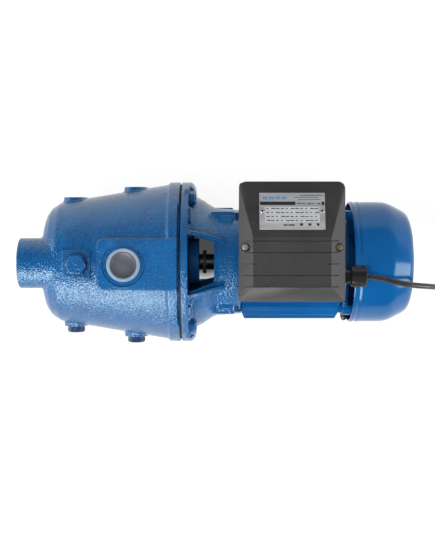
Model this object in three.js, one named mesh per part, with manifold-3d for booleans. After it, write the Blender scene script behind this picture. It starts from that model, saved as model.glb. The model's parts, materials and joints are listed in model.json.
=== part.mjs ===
// A shallow well jet pump: a cast-iron casing with an ejector inside, a lantern bracket with the feet,
// and a fan-cooled motor with its terminal box, lead and plug. Millimetres, +Z up.
// Inside the pump group, X = 0 is the joint face of the casing and Z = 0 is the shaft's axis.
import * as THREE from 'three';
import { ConvexGeometry } from 'three/addons/geometries/ConvexGeometry.js';
import { mergeVertices } from 'three/addons/utils/BufferGeometryUtils.js';
import Module from 'manifold-3d';

const wasm = await Module();
wasm.setup();

// Driving dimensions
const shaftHeight = 95; // shaft axis above the feet
const gap = 0.3; // between touching pieces
const flangeRadius = 88;
const domeFace = -151; // front face of the casing
const domeRadius = 65.7; // where the dome meets the barrel
const domeCorner = -131;
const barrelRear = -13;
const barrelRadius = 86.4;
const wall = 6; // cast-iron wall
const suctionFace = -172;
const suctionHeight = 37; // suction axis above the shaft axis
const suctionRadius = 27;
const portRadius = 15.1; // G1 thread, minor
const dischargeX = -57;
const dischargeTop = 88;
const padFront = -84.6;
const padHalfWidth = 26;
const padCorner = 6.7;
const primingX = -107;
const primingTop = 73;
const sidePortXs = [-117, -50];
const sidePortFaces = [71.5, 82.8];
const plugHeadHeight = 6.4;
const drainX = -98;
const gasketThickness = 1;
const bracketFront = gap + gasketThickness + gap;
const bracketFlangeRear = 9;
const bracketRear = 59;
const bracketEnd = 66.2; // rear of the rim that carries the motor
const rimRadius = 57.6;
const rimBore = 48;
const footHoles = [[32, 51], [32, -51]];
const windowFront = 12;
const windowRear = 36.5;
const footHalfWidth = 61;
const footThickness = 9;
const flangeBoltY = 70;
const flangeBoltZ = 37;
const tieRodY = 51;
const tieRodZ = 28;
const shellFront = bracketEnd + 2 * gap;
const shellRear = 175;
const shellBore = 50;
const finRoot = 56;
const finTip = 63;
const finCount = 28;
const shieldFront = shellRear + gap;
const shieldRear = 190;
const coverRim = 184.8; // open end of the fan cover
const coverRadius = 66.3;
const coverEnd = 249.2;
const coverEndRadius = 45;
const coverWall = 1.8;
const coverScrewAngles = [140, -140].map(THREE.MathUtils.degToRad); // counted from the top
const sidePlugX = 180.6; // rubber plug in the side of the rear end shield
const shaftRadius = 8.5;
const bearingOuter = 20; // 6203 bearing: 17 x 40 x 12
const bearingWidth = 12;
const bearingFrontX = 46.5;
const bearingRearX = 176.5;
const boxFront = 61.5;
const boxRear = 171;
const boxNear = -37.4;
const boxFar = 85.5;
const boxRim = 88; // joint between the terminal box base and its cover
const skirtTop = 95;
const boxTop = 112;
const boxWall = 2.5;
const boxFloor = 66;
const plateauX = [76, 155];
const plateauY = [-21.5, 29];
const coverScrewXs = [68.7, 163.8];
const coverScrewY = 18.6;
const plateCentre = [115.7, 55];
const plateSize = [66.4, 38.8, 0.8];
const rivetXs = [85.4, 146];
const glandY = -12.4;
const glandZ = 77;
const glandNutX = 178.3;
const cordStart = 194.8;
const cordRadius = 3;
const coilCentre = [362, -20];
const coilInner = 24;
const coilOuter = 42.4;
const coilHeight = 12.3;
const plugX = 349; // rear end of the plug's round body
const plugY = 44;
const plugRadius = 18;
const chamber = { front: -131, rear: -95, halfWidth: 26, bottom: -24, top: 61, wall: 4 };
const eyeRadius = 14; // impeller inlet
const roundSides = 24; // facets of a large turned piece

const blueCast = { color: 0x14509a, roughness: 0.45, metalness: 0.1 };
const bluePaint = { color: 0x1460b0, roughness: 0.25, metalness: 0.1 };
const castIron = { color: 0x50504e, roughness: 0.7, metalness: 0.6 };
const steel = { color: 0xb0b2b4, roughness: 0.35, metalness: 0.9 };
const darkSteel = { color: 0x30343c, roughness: 0.4, metalness: 0.8 };
const aluminium = { color: 0xc0c2c4, roughness: 0.45, metalness: 0.9 };
const copper = { color: 0xb06030, roughness: 0.4, metalness: 0.8 };
const brass = { color: 0xc0a050, roughness: 0.35, metalness: 0.9 };
const blackPlastic = { color: 0x262425, roughness: 0.6, metalness: 0 };
const whitePlastic = { color: 0xe8e8e6, roughness: 0.4, metalness: 0 };
const greyPlastic = { color: 0x8a8c8a, roughness: 0.5, metalness: 0 };
const rubber = { color: 0x1c1c1e, roughness: 0.8, metalness: 0 };
const paper = { color: 0x202020, roughness: 0.9, metalness: 0 };

// Solids for joining and cutting
function solidOf(geometry) {
  const bare = geometry.clone();
  bare.deleteAttribute('normal');
  bare.deleteAttribute('uv');
  const merged = mergeVertices(bare, 1e-4);
  const corners = merged.index.array;
  const kept = [];
  for (let i = 0; i < corners.length; i += 3) {
    const [a, b, c] = corners.slice(i, i + 3);
    if (a !== b && b !== c && a !== c) kept.push(a, b, c);
  }
  const points = merged.attributes.position.array;
  if (signedVolume(points, kept) < 0) kept.reverse();
  return new wasm.Manifold(
    new wasm.Mesh({ numProp: 3, vertProperties: points, triVerts: new Uint32Array(kept) }),
  );
}

function signedVolume(points, corners) {
  const at = (i) => new THREE.Vector3().fromArray(points, 3 * i);
  let sum = 0;
  for (let i = 0; i < corners.length; i += 3) {
    sum += at(corners[i]).dot(at(corners[i + 1]).cross(at(corners[i + 2])));
  }
  return sum / 6;
}

function join(...solids) {
  return solids.reduce((whole, next) => whole.add(next));
}

function cut(solid, ...tools) {
  return tools.reduce((left, tool) => left.subtract(tool), solid);
}

function box(x0, x1, y0, y1, z0, z1) {
  const geometry = new THREE.BoxGeometry(x1 - x0, y1 - y0, z1 - z0);
  geometry.translate((x0 + x1) / 2, (y0 + y1) / 2, (z0 + z1) / 2);
  return solidOf(geometry);
}

// A profile of [x, radius] points turned about the line through (y, z) along X.
function turned(profile, sides = roundSides, y = 0, z = 0) {
  const points = profile.map(([x, radius]) => new THREE.Vector2(radius, x));
  const geometry = new THREE.LatheGeometry(points, sides);
  geometry.rotateZ(-Math.PI / 2);
  geometry.translate(0, y, z);
  return solidOf(geometry);
}

function rod(x0, x1, radius, sides = 12, y = 0, z = 0) {
  return turned([[x0, 0], [x0, radius], [x1, radius], [x1, 0]], sides, y, z);
}

function ring(x0, x1, inner, outer, sides = 20, y = 0, z = 0) {
  return turned([[x0, inner], [x0, outer], [x1, outer], [x1, inner], [x0, inner]], sides, y, z);
}

// A round or hexagonal bar along Y or Z, from one level to another.
function upright(x, y, z0, z1, radius, sides = 16, topRadius = radius) {
  const geometry = new THREE.CylinderGeometry(topRadius, radius, z1 - z0, sides);
  geometry.rotateX(Math.PI / 2);
  geometry.translate(x, y, (z0 + z1) / 2);
  return solidOf(geometry);
}

function sideways(x, z, y0, y1, radius, sides = 16) {
  const geometry = new THREE.CylinderGeometry(radius, radius, Math.abs(y1 - y0), sides);
  geometry.translate(x, (y0 + y1) / 2, z);
  return solidOf(geometry);
}

// A flat outline in X and Y, raised from one level to another.
function raised(outline, z0, z1) {
  const shape = new THREE.Shape(outline.map(([x, y]) => new THREE.Vector2(x, y)));
  const geometry = new THREE.ExtrudeGeometry(shape, { depth: z1 - z0, bevelEnabled: false });
  geometry.translate(0, 0, z0);
  return solidOf(geometry);
}

// A rectangle in X and Y with round corners: radii for the far (+Y) and near (-Y) corners.
function roundedOutline(x0, x1, y0, y1, far, near = far) {
  const steps = 3;
  const corners = [[x1, y1, far, 0], [x0, y1, far, 1], [x0, y0, near, 2], [x1, y0, near, 3]];
  return corners.flatMap(([x, y, radius, quarter]) => {
    const centreX = x === x1 ? x1 - radius : x0 + radius;
    const centreY = y === y1 ? y1 - radius : y0 + radius;
    return Array.from({ length: steps + 1 }, (_, k) => {
      const angle = (Math.PI / 2) * (quarter + k / steps);
      return [centreX + radius * Math.cos(angle), centreY + radius * Math.sin(angle)];
    });
  });
}

function hull(points) {
  return solidOf(new ConvexGeometry(points.map((p) => new THREE.Vector3(...p))));
}

function turnedAbout(solid, angle) {
  return solid.rotate([THREE.MathUtils.radToDeg(angle), 0, 0]);
}

const pump = new THREE.Group();

function piece(name, solid, look) {
  const mesh = solid.getMesh();
  const geometry = new THREE.BufferGeometry();
  geometry.setAttribute('position', new THREE.BufferAttribute(mesh.vertProperties, 3));
  geometry.setIndex(new THREE.BufferAttribute(mesh.triVerts, 1));
  geometry.computeVertexNormals();
  const part = new THREE.Mesh(geometry, new THREE.MeshStandardMaterial(look));
  part.name = name;
  pump.add(part);
}

const fourCorners = [[1, 1], [-1, 1], [-1, -1], [1, -1]];

function casingOuter() {
  return turned([
    [domeFace, 0],
    [domeFace + 0.8, 34],
    [domeFace + 3.5, 48],
    [domeFace + 10, 59.8],
    [domeCorner, domeRadius],
    [barrelRear, barrelRadius],
    [-10, flangeRadius],
    [0, flangeRadius],
    [0, 0],
  ]);
}

function casingCavity() {
  const mouthRadius = 71;
  return turned([
    [domeFace + wall, 0],
    [domeFace + wall + 1, 34],
    [domeFace + 2 * wall, 52],
    [domeCorner + 2, domeRadius - wall],
    [-26, barrelRadius - 10],
    [-20, mouthRadius],
    [1, mouthRadius],
    [1, 0],
  ]);
}

// The inner chamber that joins the suction port to the ejector.
function suctionChamberWalls() {
  const { front, rear, halfWidth, bottom, top } = chamber;
  const shell = box(front, rear, -halfWidth, halfWidth, bottom, top);
  const neck = rod(domeFace + 1, front + 1, portRadius + 4, 24, 0, suctionHeight);
  return join(shell, neck).intersect(casingOuter());
}

// The raised channel from the suction boss over the dome to the discharge pad.
function suctionNeck() {
  const stations = [[-152, 26.8, 37, 64.3], [-122, 27, 37, 67], [-84, 22.6, 41.5, 71.5]];
  const arches = stations.map(([x, half, middle, top]) => {
    const points = [[x, -half, 20], [x, half, 20]];
    for (let k = 0; k <= 12; k += 1) {
      const angle = (Math.PI * k) / 12;
      points.push([x, half * Math.cos(angle), middle + (top - middle) * Math.sin(angle)]);
    }
    return points;
  });
  return join(hull([...arches[0], ...arches[1]]), hull([...arches[1], ...arches[2]]));
}

function pumpCasing() {
  const pad = raised(
    roundedOutline(padFront, 12, -padHalfWidth, padHalfWidth, padCorner),
    60,
    dischargeTop,
  );
  let outer = join(
    casingOuter(),
    rod(suctionFace, -118, suctionRadius, 32, 0, suctionHeight),
    pad.intersect(box(-100, 0, -padHalfWidth, padHalfWidth, 60, dischargeTop)),
    suctionNeck(),
    box(primingX - 15, primingX + 15, -15, 15, 55, primingTop),
    upright(drainX, 0, -78, -60, 12),
  );
  sidePortXs.forEach((x, i) => {
    outer = outer.add(sideways(x, 0, -sidePortFaces[i], sidePortFaces[i], 13));
  });
  const { front, rear, halfWidth, bottom, top } = chamber;
  const hollow = box(
    front + chamber.wall,
    rear - chamber.wall,
    chamber.wall - halfWidth,
    halfWidth - chamber.wall,
    bottom + chamber.wall,
    top - chamber.wall,
  );
  let casing = join(cut(outer, casingCavity()), suctionChamberWalls());
  casing = cut(
    casing,
    hollow,
    rod(suctionFace - 1, front + 6, portRadius, 24, 0, suctionHeight),
    rod(front - 1, front + 6, 8.3, 20),
    rod(rear - 6, rear + 1, 11.3, 20),
    upright(dischargeX, 0, 50, dischargeTop + 1, portRadius, 24),
    upright(dischargeX, 0, dischargeTop - 2, dischargeTop + 1, 22.3, 28),
    upright(primingX, 0, top - 6, primingTop + 1, 8.2),
    upright(drainX, 0, -90, -55, 6.4),
  );
  sidePortXs.forEach((x) => {
    casing = cut(casing, sideways(x, 0, -90, -50, 6.4));
  });
  for (const [ys, zs] of fourCorners) {
    casing = cut(casing, rod(-18, 1, 4.4, 8, ys * flangeBoltY, zs * flangeBoltZ));
  }
  const rebate = ring(-2, 1, 80, flangeRadius + 2, roundSides).intersect(box(-3, 2, -90, 90, 58, 90));
  casing = cut(casing, rebate);
  piece('pump_casing', casing, blueCast);
}

function casingGasket() {
  let gasket = ring(gap, gap + gasketThickness, 72, flangeRadius - 2.5, roundSides);
  for (const [ys, zs] of fourCorners) {
    gasket = cut(gasket, rod(-1, 3, 4.6, 8, ys * flangeBoltY, zs * flangeBoltZ));
  }
  piece('casing_gasket', gasket, paper);
}

function plugs() {
  const priming = join(
    upright(primingX, 0, primingTop + 2, primingTop + 10, 11.4, 6),
    upright(primingX, 0, primingTop - 12, primingTop + 2.1, 7.8),
  );
  piece('priming_plug', priming, blueCast);
  const washer = cut(
    upright(primingX, 0, primingTop + gap, primingTop + 1.7, 11.8, 24),
    upright(primingX, 0, 60, 90, 8.2),
  );
  piece('priming_plug_washer', washer, rubber);
  const names = ['side_plug_front', 'side_plug_rear'];
  sidePortXs.forEach((x, i) => {
    const face = sidePortFaces[i] + gap;
    const plug = join(
      sideways(x, 0, -face - plugHeadHeight, -face, 9.6, 6),
      sideways(x, 0, -face - 0.5, -face + 9, 6),
    );
    piece(names[i], plug, darkSteel);
  });
  const drain = join(upright(drainX, 0, -85, -78.3, 9.6, 6), upright(drainX, 0, -78.5, -68, 6));
  piece('drain_plug', drain, darkSteel);
  const seat = dischargeTop - 2;
  const cap = cut(
    join(
      upright(dischargeX, 0, seat + gap, seat + 3, 17.5, 28),
      upright(dischargeX, 0, seat - 10, seat + 1, portRadius - 0.4, 24),
    ),
    upright(dischargeX, 0, seat - 8, seat + 4, portRadius - 2, 24),
  );
  piece('discharge_cap', cap, whitePlastic);
}

function ejector() {
  const nozzle = turned([
    [-136, 3.6],
    [-136, 11],
    [-131.3, 11],
    [-131.3, 8],
    [-122, 8],
    [-110, 4.2],
    [-110, 2],
    [-136, 3.6],
  ], 20);
  piece('ejector_nozzle', nozzle, brass);
  const venturi = turned([
    [-99, 9.2],
    [-99, 11],
    [-88, 9],
    [-52, 11],
    [-46, 11],
    [-46, 9.2],
    [-86, 4.5],
    [-92, 4.5],
    [-99, 9.2],
  ], 20);
  piece('venturi_tube', venturi, greyPlastic);
}

function diffuser() {
  const cup = turned([
    [-50, 11.3],
    [-50, 17],
    [-42, 17],
    [-40, 62],
    [-8, 66],
    [-8, 61],
    [-36.5, 58],
    [-38, eyeRadius],
    [-44, eyeRadius],
    [-44, 11.3],
    [-50, 11.3],
  ]);
  let body = cup;
  const vanes = 8;
  for (let i = 0; i < vanes; i += 1) {
    const slot = box(-30, -14, -4, 4, 55, 70);
    body = cut(body, turnedAbout(slot, (2 * Math.PI * i) / vanes));
  }
  piece('diffuser', body, greyPlastic);
  piece('diffuser_oring', ring(-7.5, -5, 62, 66, 32), rubber);
}

function impeller() {
  const radius = 54;
  const hub = ring(-34, -13.5, 8, 12, 24);
  const back = ring(-18, -15.5, 8, radius, 32);
  const shroud = turned([
    [-33, eyeRadius - 1],
    [-26, radius],
    [-24, radius],
    [-31, eyeRadius - 1],
    [-33, eyeRadius - 1],
  ], 32);
  let body = join(hub, back, shroud);
  const blades = 6;
  for (let i = 0; i < blades; i += 1) {
    const blade = hull(
      [[-31, -25.5], [-17, -17]].flatMap(([inner, outer]) => [
        [inner, -1.2, eyeRadius],
        [inner, 1.2, eyeRadius],
        [outer, 14, radius - 4],
        [outer, 16.4, radius - 4],
      ]),
    );
    body = body.add(turnedAbout(blade, (2 * Math.PI * i) / blades));
  }
  const keyway = box(-40, -13, -1.8, 1.8, 6, 9.8);
  piece('impeller', cut(body, keyway), brass);
  piece('impeller_key', box(-32, -16, -1.5, 1.5, 6.3, 9.5), steel);
  const nut = cut(rod(-41, -34.3, 7.5, 6), rod(-42, -34, 4.8));
  piece('impeller_nut', nut, steel);
}

function seal() {
  piece('seal_rotary_head', ring(-13.2, -1.5, 8, 14, 24), darkSteel);
  const seat = turned([
    [-1.2, 9],
    [-1.2, 13],
    [6, 13],
    [6, 9],
    [-1.2, 9],
  ], 24);
  piece('seal_stationary_seat', seat, greyPlastic);
  piece('slinger', ring(24, 28, shaftRadius + gap, 12.8, 24), rubber);
}

function rotor() {
  const shaft = turned([
    [-40, 0],
    [-40, 4.5],
    [-34, 4.5],
    [-34, 7.7],
    [10, 7.7],
    [10, shaftRadius],
    [shieldRear - 2, shaftRadius],
    [shieldRear - 2, 7],
    [218, 7],
    [218, 0],
  ], 24);
  piece('rotor_shaft', cut(shaft, box(-32.3, -15.7, -1.8, 1.8, 6, 10)), steel);
  piece('rotor_core', ring(82, 152, shaftRadius + gap, 31, 32), castIron);
}

function bearings() {
  for (const [name, x] of [['front_bearing', bearingFrontX], ['rear_bearing', bearingRearX]]) {
    piece(name, ring(x, x + bearingWidth - 1, shaftRadius + gap, bearingOuter, 28), steel);
  }
}

function stator() {
  piece('stator_core', ring(82, 152, 31.6, shellBore - 0.6, roundSides), castIron);
  for (const [name, x] of [['stator_winding_front', 66], ['stator_winding_rear', 152.3]]) {
    piece(name, turned([
      [x, 37],
      [x, 43],
      [x + 4, 46.5],
      [x + 15.7, 46.5],
      [x + 15.7, 33.5],
      [x + 4, 33.5],
      [x, 37],
    ], 28), copper);
  }
}

function lanternWindow(direction) {
  const front = direction > 0 ? bracketFlangeRear + 0.5 : windowFront;
  const outline = [
    [front, -29.5],
    [windowRear, -20],
    [windowRear, 23],
    [front, 31],
  ];
  const inner = 30;
  return direction > 0 ? raised(outline, inner, 90) : raised(outline, -shaftHeight - 5, -inner);
}

function foot(side) {
  const inner = side * 24;
  const outer = side * footHalfWidth;
  const low = Math.min(inner, outer);
  const high = Math.max(inner, outer);
  const plate = box(bracketFront, bracketRear, low, high, -shaftHeight, footThickness - shaftHeight);
  const legInner = side * 30;
  const legOuter = side * 42;
  const leg = box(
    bracketFront,
    bracketRear - 6,
    Math.min(legInner, legOuter),
    Math.max(legInner, legOuter),
    footThickness - shaftHeight - 1,
    -38,
  );
  return join(plate, leg);
}

// The raised edge beside the top window, falling from the flange to the motor's end.
function windowRib(side) {
  return hull(
    [[8, 34, 60, 76], [36, 26.5, 50, 62]].flatMap(([x, y, low, high]) =>
      [-2.2, 2.2].flatMap((half) => [[x, side * y + half, low], [x, side * y + half, high]]),
    ),
  );
}

// The thick parts of the flange level with the shaft, on both sides.
function flangeLugs() {
  const disc = turned([
    [bracketFront, 0],
    [bracketFront, flangeRadius],
    [11.5, flangeRadius],
    [14, 86.5],
    [16.4, 83],
    [17.6, 77],
    [17.6, 0],
  ]);
  const band = box(0, 20, -90, 90, -36, 32);
  return cut(disc.intersect(band), box(-1, 21, -60, 60, -40, 40));
}

function lanternBracket() {
  const outer = turned([
    [bracketFront, 0],
    [bracketFront, flangeRadius],
    [bracketFlangeRear, flangeRadius],
    [bracketFlangeRear, 73],
    [18, 71.5],
    [25, 68],
    [33, 62.4],
    [39, 59],
    [bracketRear, 58],
    [bracketRear, 0],
  ]);
  const hollow = turned([
    [bracketFlangeRear, 26],
    [bracketFlangeRear, 67],
    [18, 65.5],
    [25, 62],
    [33, 56.4],
    [39, 53],
    [42, 52],
    [42, 26],
    [38, 25],
    [38, 0],
    [21, 0],
    [20, 26],
    [bracketFlangeRear, 26],
  ]);
  const motorRecess = turned([
    [46, 0],
    [46, bearingOuter + gap],
    [bracketEnd - 5, bearingOuter + gap],
    [bracketEnd - 5, rimBore],
    [bracketEnd + 1, rimBore],
    [bracketEnd + 1, 0],
  ], 28);
  const footTop = footThickness - shaftHeight;
  let body = join(
    outer,
    flangeLugs(),
    rod(50, bracketEnd, rimRadius, roundSides),
    foot(1),
    foot(-1),
    box(bracketFront, bracketFlangeRear, -30, 30, -shaftHeight, -80),
    box(48, bracketRear, -30, 30, -shaftHeight, footTop),
  );
  for (const side of [1, -1]) {
    const [low, high] = side > 0 ? [44, 55.5] : [-55.5, -44];
    body = join(
      body,
      box(34, bracketRear - 1, low, high, 14, 36),
      box(34, bracketRear - 1, low, high, -36, -14),
      windowRib(side),
    );
  }
  for (const [ys, zs] of fourCorners) {
    body = body.add(rod(5, 9.5, 11, 12, ys * flangeBoltY, zs * flangeBoltZ));
  }
  body = cut(
    body,
    hollow,
    motorRecess,
    rod(0, 70, shaftRadius + 0.8, 24),
    rod(0, 6.4, 13.3, 24),
    rod(0, bracketFlangeRear + 2, 10, 24),
    lanternWindow(1),
    lanternWindow(-1),
  );
  for (const [ys, zs] of fourCorners) {
    body = cut(
      body,
      rod(0, 20, 4.5, 8, ys * flangeBoltY, zs * flangeBoltZ),
      rod(9.5, 30, 10.5, 12, ys * flangeBoltY, zs * flangeBoltZ),
      rod(44, 70, 2.9, 8, ys * tieRodY, zs * tieRodZ),
      rod(bracketRear + 0.5, 70, 13, 16, ys * tieRodY, zs * tieRodZ),
    );
  }
  for (const [x, y] of footHoles) {
    body = cut(body, upright(x, y, -100, -80, 4.5, 12));
  }
  piece('lantern_bracket', body, blueCast);
}

function flangeBolts() {
  fourCorners.forEach(([ys, zs], i) => {
    const [y, z] = [ys * flangeBoltY, zs * flangeBoltZ];
    const bolt = join(rod(9.8, 15.6, 7.5, 6, y, z), rod(-16, 10, 3.9, 8, y, z));
    piece(`flange_bolt_${i + 1}`, bolt, blueCast);
  });
}

function finnedShell() {
  const outline = new THREE.Shape();
  for (let i = 0; i < finCount; i += 1) {
    const pitch = (2 * Math.PI) / finCount;
    const corners = [[-0.28, finRoot], [-0.18, finTip], [0.18, finTip], [0.28, finRoot]];
    for (const [share, radius] of corners) {
      const angle = (i + share) * pitch;
      const at = [radius * Math.cos(angle), radius * Math.sin(angle)];
      if (i === 0 && share === corners[0][0]) outline.moveTo(...at);
      else outline.lineTo(...at);
    }
  }
  const geometry = new THREE.ExtrudeGeometry(outline, {
    depth: shellRear - shellFront,
    bevelEnabled: false,
  });
  geometry.rotateY(Math.PI / 2);
  geometry.translate(shellFront, 0, 0);
  return solidOf(geometry);
}

function motorShell() {
  const envelope = turned([
    [shellFront - 1, 0],
    [shellFront - 1, 54],
    [shellFront, 56],
    [shellFront + 3.6, finTip + 1],
    [shellRear - 7, finTip + 1],
    [shellRear - 0.5, 54],
    [shellRear + 1, 54],
    [shellRear + 1, 0],
  ]);
  let shell = finnedShell().intersect(envelope);
  for (const [ys, zs] of fourCorners) {
    shell = shell.add(rod(shellFront, shellRear, 5.6, 10, ys * (tieRodY - 1), zs * tieRodZ));
  }
  shell = cut(
    shell,
    rod(shellFront - 1, shellRear + 1, shellBore, roundSides),
    box(76, 158, -32, 32, 59.7, 80),
    upright(100, 0, 40, 70, 7, 16),
  );
  for (const [ys, zs] of fourCorners) {
    shell = cut(shell, rod(shellFront - 1, shellRear + 1, 2.9, 8, ys * tieRodY, zs * tieRodZ));
  }
  piece('motor_shell', shell, bluePaint);
}

function rearEndShield() {
  let shield = turned([
    [shieldFront, 0],
    [shieldFront, 57],
    [shieldFront + 5, 57],
    [shieldFront + 7, 30],
    [shieldRear, 28],
    [shieldRear, 0],
  ]);
  for (const [ys, zs] of fourCorners) {
    shield = shield.add(rod(shieldFront, shieldRear - 4, 5.8, 10, ys * tieRodY, zs * tieRodZ));
  }
  shield = cut(
    shield,
    rod(0, shieldRear - 2, bearingOuter + gap, 28),
    rod(0, 200, shaftRadius + 1, 24),
    box(shieldFront + 1.8, 200, -43, 43, 33, 70),
  );
  for (const [ys, zs] of fourCorners) {
    shield = cut(shield, rod(150, 200, 2.9, 8, ys * tieRodY, zs * tieRodZ));
  }
  for (const angle of coverScrewAngles) {
    const arm = turnedAbout(box(shieldFront + 1, shieldRear, -5, 5, 45, 63.8), angle);
    const hole = turnedAbout(upright(188.2, 0, 50, 70, 1.8, 10), angle);
    shield = cut(join(shield, arm), hole);
  }
  piece('rear_end_shield', shield, bluePaint);
  const plug = join(
    sideways(sidePlugX, 0, -57.3, -61, 3.4, 14),
    sideways(sidePlugX, 0, -60.9, -65.5, 2.6, 14),
  );
  piece('shield_side_plug', plug, rubber);
}

function tieRods() {
  fourCorners.forEach(([ys, zs], i) => {
    const [y, z] = [ys * tieRodY, zs * tieRodZ];
    const tieRod = join(rod(46, 187, 2.4, 8, y, z), rod(186.3, 190, 4.4, 6, y, z));
    piece(`tie_rod_${i + 1}`, tieRod, steel);
  });
}

function fan() {
  const hub = ring(196, 214, 7.3, 13, 20);
  let body = join(hub, ring(196, 198.5, 10, 30, 24));
  const blades = 8;
  for (let i = 0; i < blades; i += 1) {
    body = body.add(turnedAbout(box(196, 216, -1.1, 1.1, 11, 58), (2 * Math.PI * i) / blades));
  }
  piece('cooling_fan', body, blackPlastic);
  piece('fan_clip', ring(214.3, 215.8, 7.3, 10.5, 16), steel);
}

function fanCover() {
  const outline = [
    [coverRim, coverRadius],
    [coverRim + 4, coverRadius + 0.5],
    [coverRim + 5.5, coverRadius - 0.4],
    [coverRim + 8, coverRadius],
    [215, coverRadius],
    [226, 65],
    [234, 61.6],
    [243, 56.7],
    [247.2, 52.4],
    [coverEnd, coverEndRadius],
  ];
  const inner = outline.slice(3).map(([x, radius]) => [x - coverWall * 0.6, radius - coverWall]);
  let cover = turned([
    ...outline,
    [coverEnd, 0],
    [coverEnd - coverWall, 0],
    ...inner.reverse(),
    [coverRim, coverRadius - coverWall],
    outline[0],
  ], 36);
  const slots = 16;
  for (let i = 0; i < slots; i += 1) {
    const slot = box(coverEnd - 5, coverEnd + 1, -2, 2, 16, 41);
    cover = cut(cover, turnedAbout(slot, (2 * Math.PI * i) / slots));
  }
  coverScrewAngles.forEach((angle, i) => {
    cover = cut(cover, turnedAbout(upright(188.2, 0, 55, 75, 2.2, 10), angle));
    const screw = join(upright(188.2, 0, 67.2, 69.4, 3.8, 12), upright(188.2, 0, 58, 67.3, 1.5, 10));
    piece(['fan_cover_screw_left', 'fan_cover_screw_right'][i], turnedAbout(screw, angle), steel);
  });
  piece('fan_cover', cover, bluePaint);
}

function terminalBoxBase() {
  const corner = 4;
  const outline = roundedOutline(boxFront + 1, boxRear - 1, boxNear + 1, boxFar - 1, corner);
  const outer = raised(outline, boxFloor, boxRim - 1.3);
  const inner = box(
    boxFront + 1 + boxWall,
    boxRear - 1 - boxWall,
    boxNear + 1 + boxWall,
    boxFar - 1 - boxWall,
    boxFloor + boxWall,
    boxRim,
  );
  let base = join(cut(outer, inner), box(78, 156, -28, 28, 60, boxFloor + 1));
  for (const x of coverScrewXs) {
    base = base.add(upright(x, coverScrewY, boxFloor + 1, boxRim - 1.3, 5.4, 14));
    base = cut(base, upright(x, coverScrewY, 72, boxRim, 2.2, 10));
  }
  base = cut(
    base,
    rod(160, 175, 7.3, 20, glandY, glandZ),
    upright(100, 0, 50, boxFloor + 5, 7, 16),
  );
  piece('terminal_box_base', base, blackPlastic);
  const gasket = cut(
    raised(outline, boxRim - 1, boxRim - gap),
    box(boxFront + 4.5, boxRear - 4.5, boxNear + 4.5, boxFar - 4.5, boxRim - 2, boxRim + 1),
    ...coverScrewXs.map((x) => upright(x, coverScrewY, 80, 95, 2.6, 10)),
  );
  piece('terminal_box_gasket', gasket, rubber);
}

// The hip-roofed shape of the terminal box cover, smaller all round by the inset.
function hipRoof(inset) {
  const farCorner = 7.5 - inset;
  const nearCorner = 4 - inset;
  const outline = roundedOutline(
    boxFront + inset,
    boxRear - inset,
    boxNear + inset,
    boxFar - inset,
    farCorner,
    nearCorner,
  );
  const low = boxRim - (inset > 0 ? 1 : 0);
  const points = [];
  for (const z of [low, skirtTop - inset]) points.push(...outline.map(([x, y]) => [x, y, z]));
  for (const x of plateauX) {
    for (const y of plateauY) points.push([x, y, boxTop - inset]);
  }
  return hull(points);
}

const panelAngle = Math.atan2(boxTop - skirtTop, boxFar - plateauY[1]);

function terminalBoxCover() {
  let cover = cut(hipRoof(0), hipRoof(boxWall));
  for (const x of coverScrewXs) {
    cover = cover.add(upright(x, coverScrewY, boxRim, 101, 6.4, 16).intersect(hipRoof(0)));
  }
  for (const x of coverScrewXs) {
    cover = cut(
      cover,
      upright(x, coverScrewY, 80, 99, 2.4, 10),
      upright(x, coverScrewY, 96, 115, 4.3, 16),
    );
  }
  const panelZ = panelLevel(plateCentre[1]);
  for (const x of rivetXs) {
    cover = cut(cover, upright(x, plateCentre[1], panelZ - 10, panelZ + 5, 1.5, 10));
  }
  piece('terminal_box_cover', cover, blackPlastic);
  coverScrewXs.forEach((x, i) => {
    const screw = join(
      upright(x, coverScrewY, 96.3, 98.6, 3.7, 14),
      upright(x, coverScrewY, 74, 96.5, 1.9, 10),
    );
    piece(['cover_screw_left', 'cover_screw_right'][i], screw, steel);
  });
}

function panelLevel(y) {
  return boxTop - (y - plateauY[1]) * Math.tan(panelAngle);
}

function nameplate() {
  const [x, y] = plateCentre;
  const [length, width, thickness] = plateSize;
  const level = panelLevel(y);
  const lift = gap + thickness / 2;
  const flat = box(x - length / 2, x + length / 2, -width / 2, width / 2, gap, gap + thickness);
  let plate = turnedAbout(flat, -panelAngle).translate([0, y, level]);
  for (const rivetX of rivetXs) plate = cut(plate, upright(rivetX, y, level - 5, level + 5, 1.5, 10));
  piece('nameplate', plate, aluminium);
  rivetXs.forEach((rivetX, i) => {
    const head = join(
      turnedAbout(upright(rivetX, 0, lift + 0.8, lift + 1.7, 2.2, 12), -panelAngle).translate([0, y, level]),
      upright(rivetX, y, level - 4, level + lift + 1.1, 1.1, 10),
    );
    piece(['nameplate_rivet_left', 'nameplate_rivet_right'][i], head, steel);
  });
}

function boxInside() {
  piece('capacitor', rod(82, 150, 14.3, 24, 52, 83.8), whitePlastic);
  const block = cut(
    box(104, 146, -24, 6, boxFloor + boxWall + gap, 86),
    box(103, 147, -20, -12, 80, 90),
    box(103, 147, -6, 2, 80, 90),
  );
  piece('terminal_block', block, greyPlastic);
}

function gland() {
  const body = join(
    cut(rod(164, glandNutX - gap, 7, 20, glandY, glandZ), rod(160, 182, 3.9, 16, glandY, glandZ)),
    ring(boxRear - 0.7, glandNutX - 2, 6.5, 8.4, 20, glandY, glandZ),
  );
  piece('gland_body', body, blackPlastic);
  const nut = cut(
    rod(glandNutX, cordStart - gap, 11, 12, glandY, glandZ),
    rod(170, 200, 3.9, 16, glandY, glandZ),
  );
  piece('gland_nut', nut, blackPlastic);
}

const floor = -shaftHeight;
const lying = floor + cordRadius + 0.2;

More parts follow.
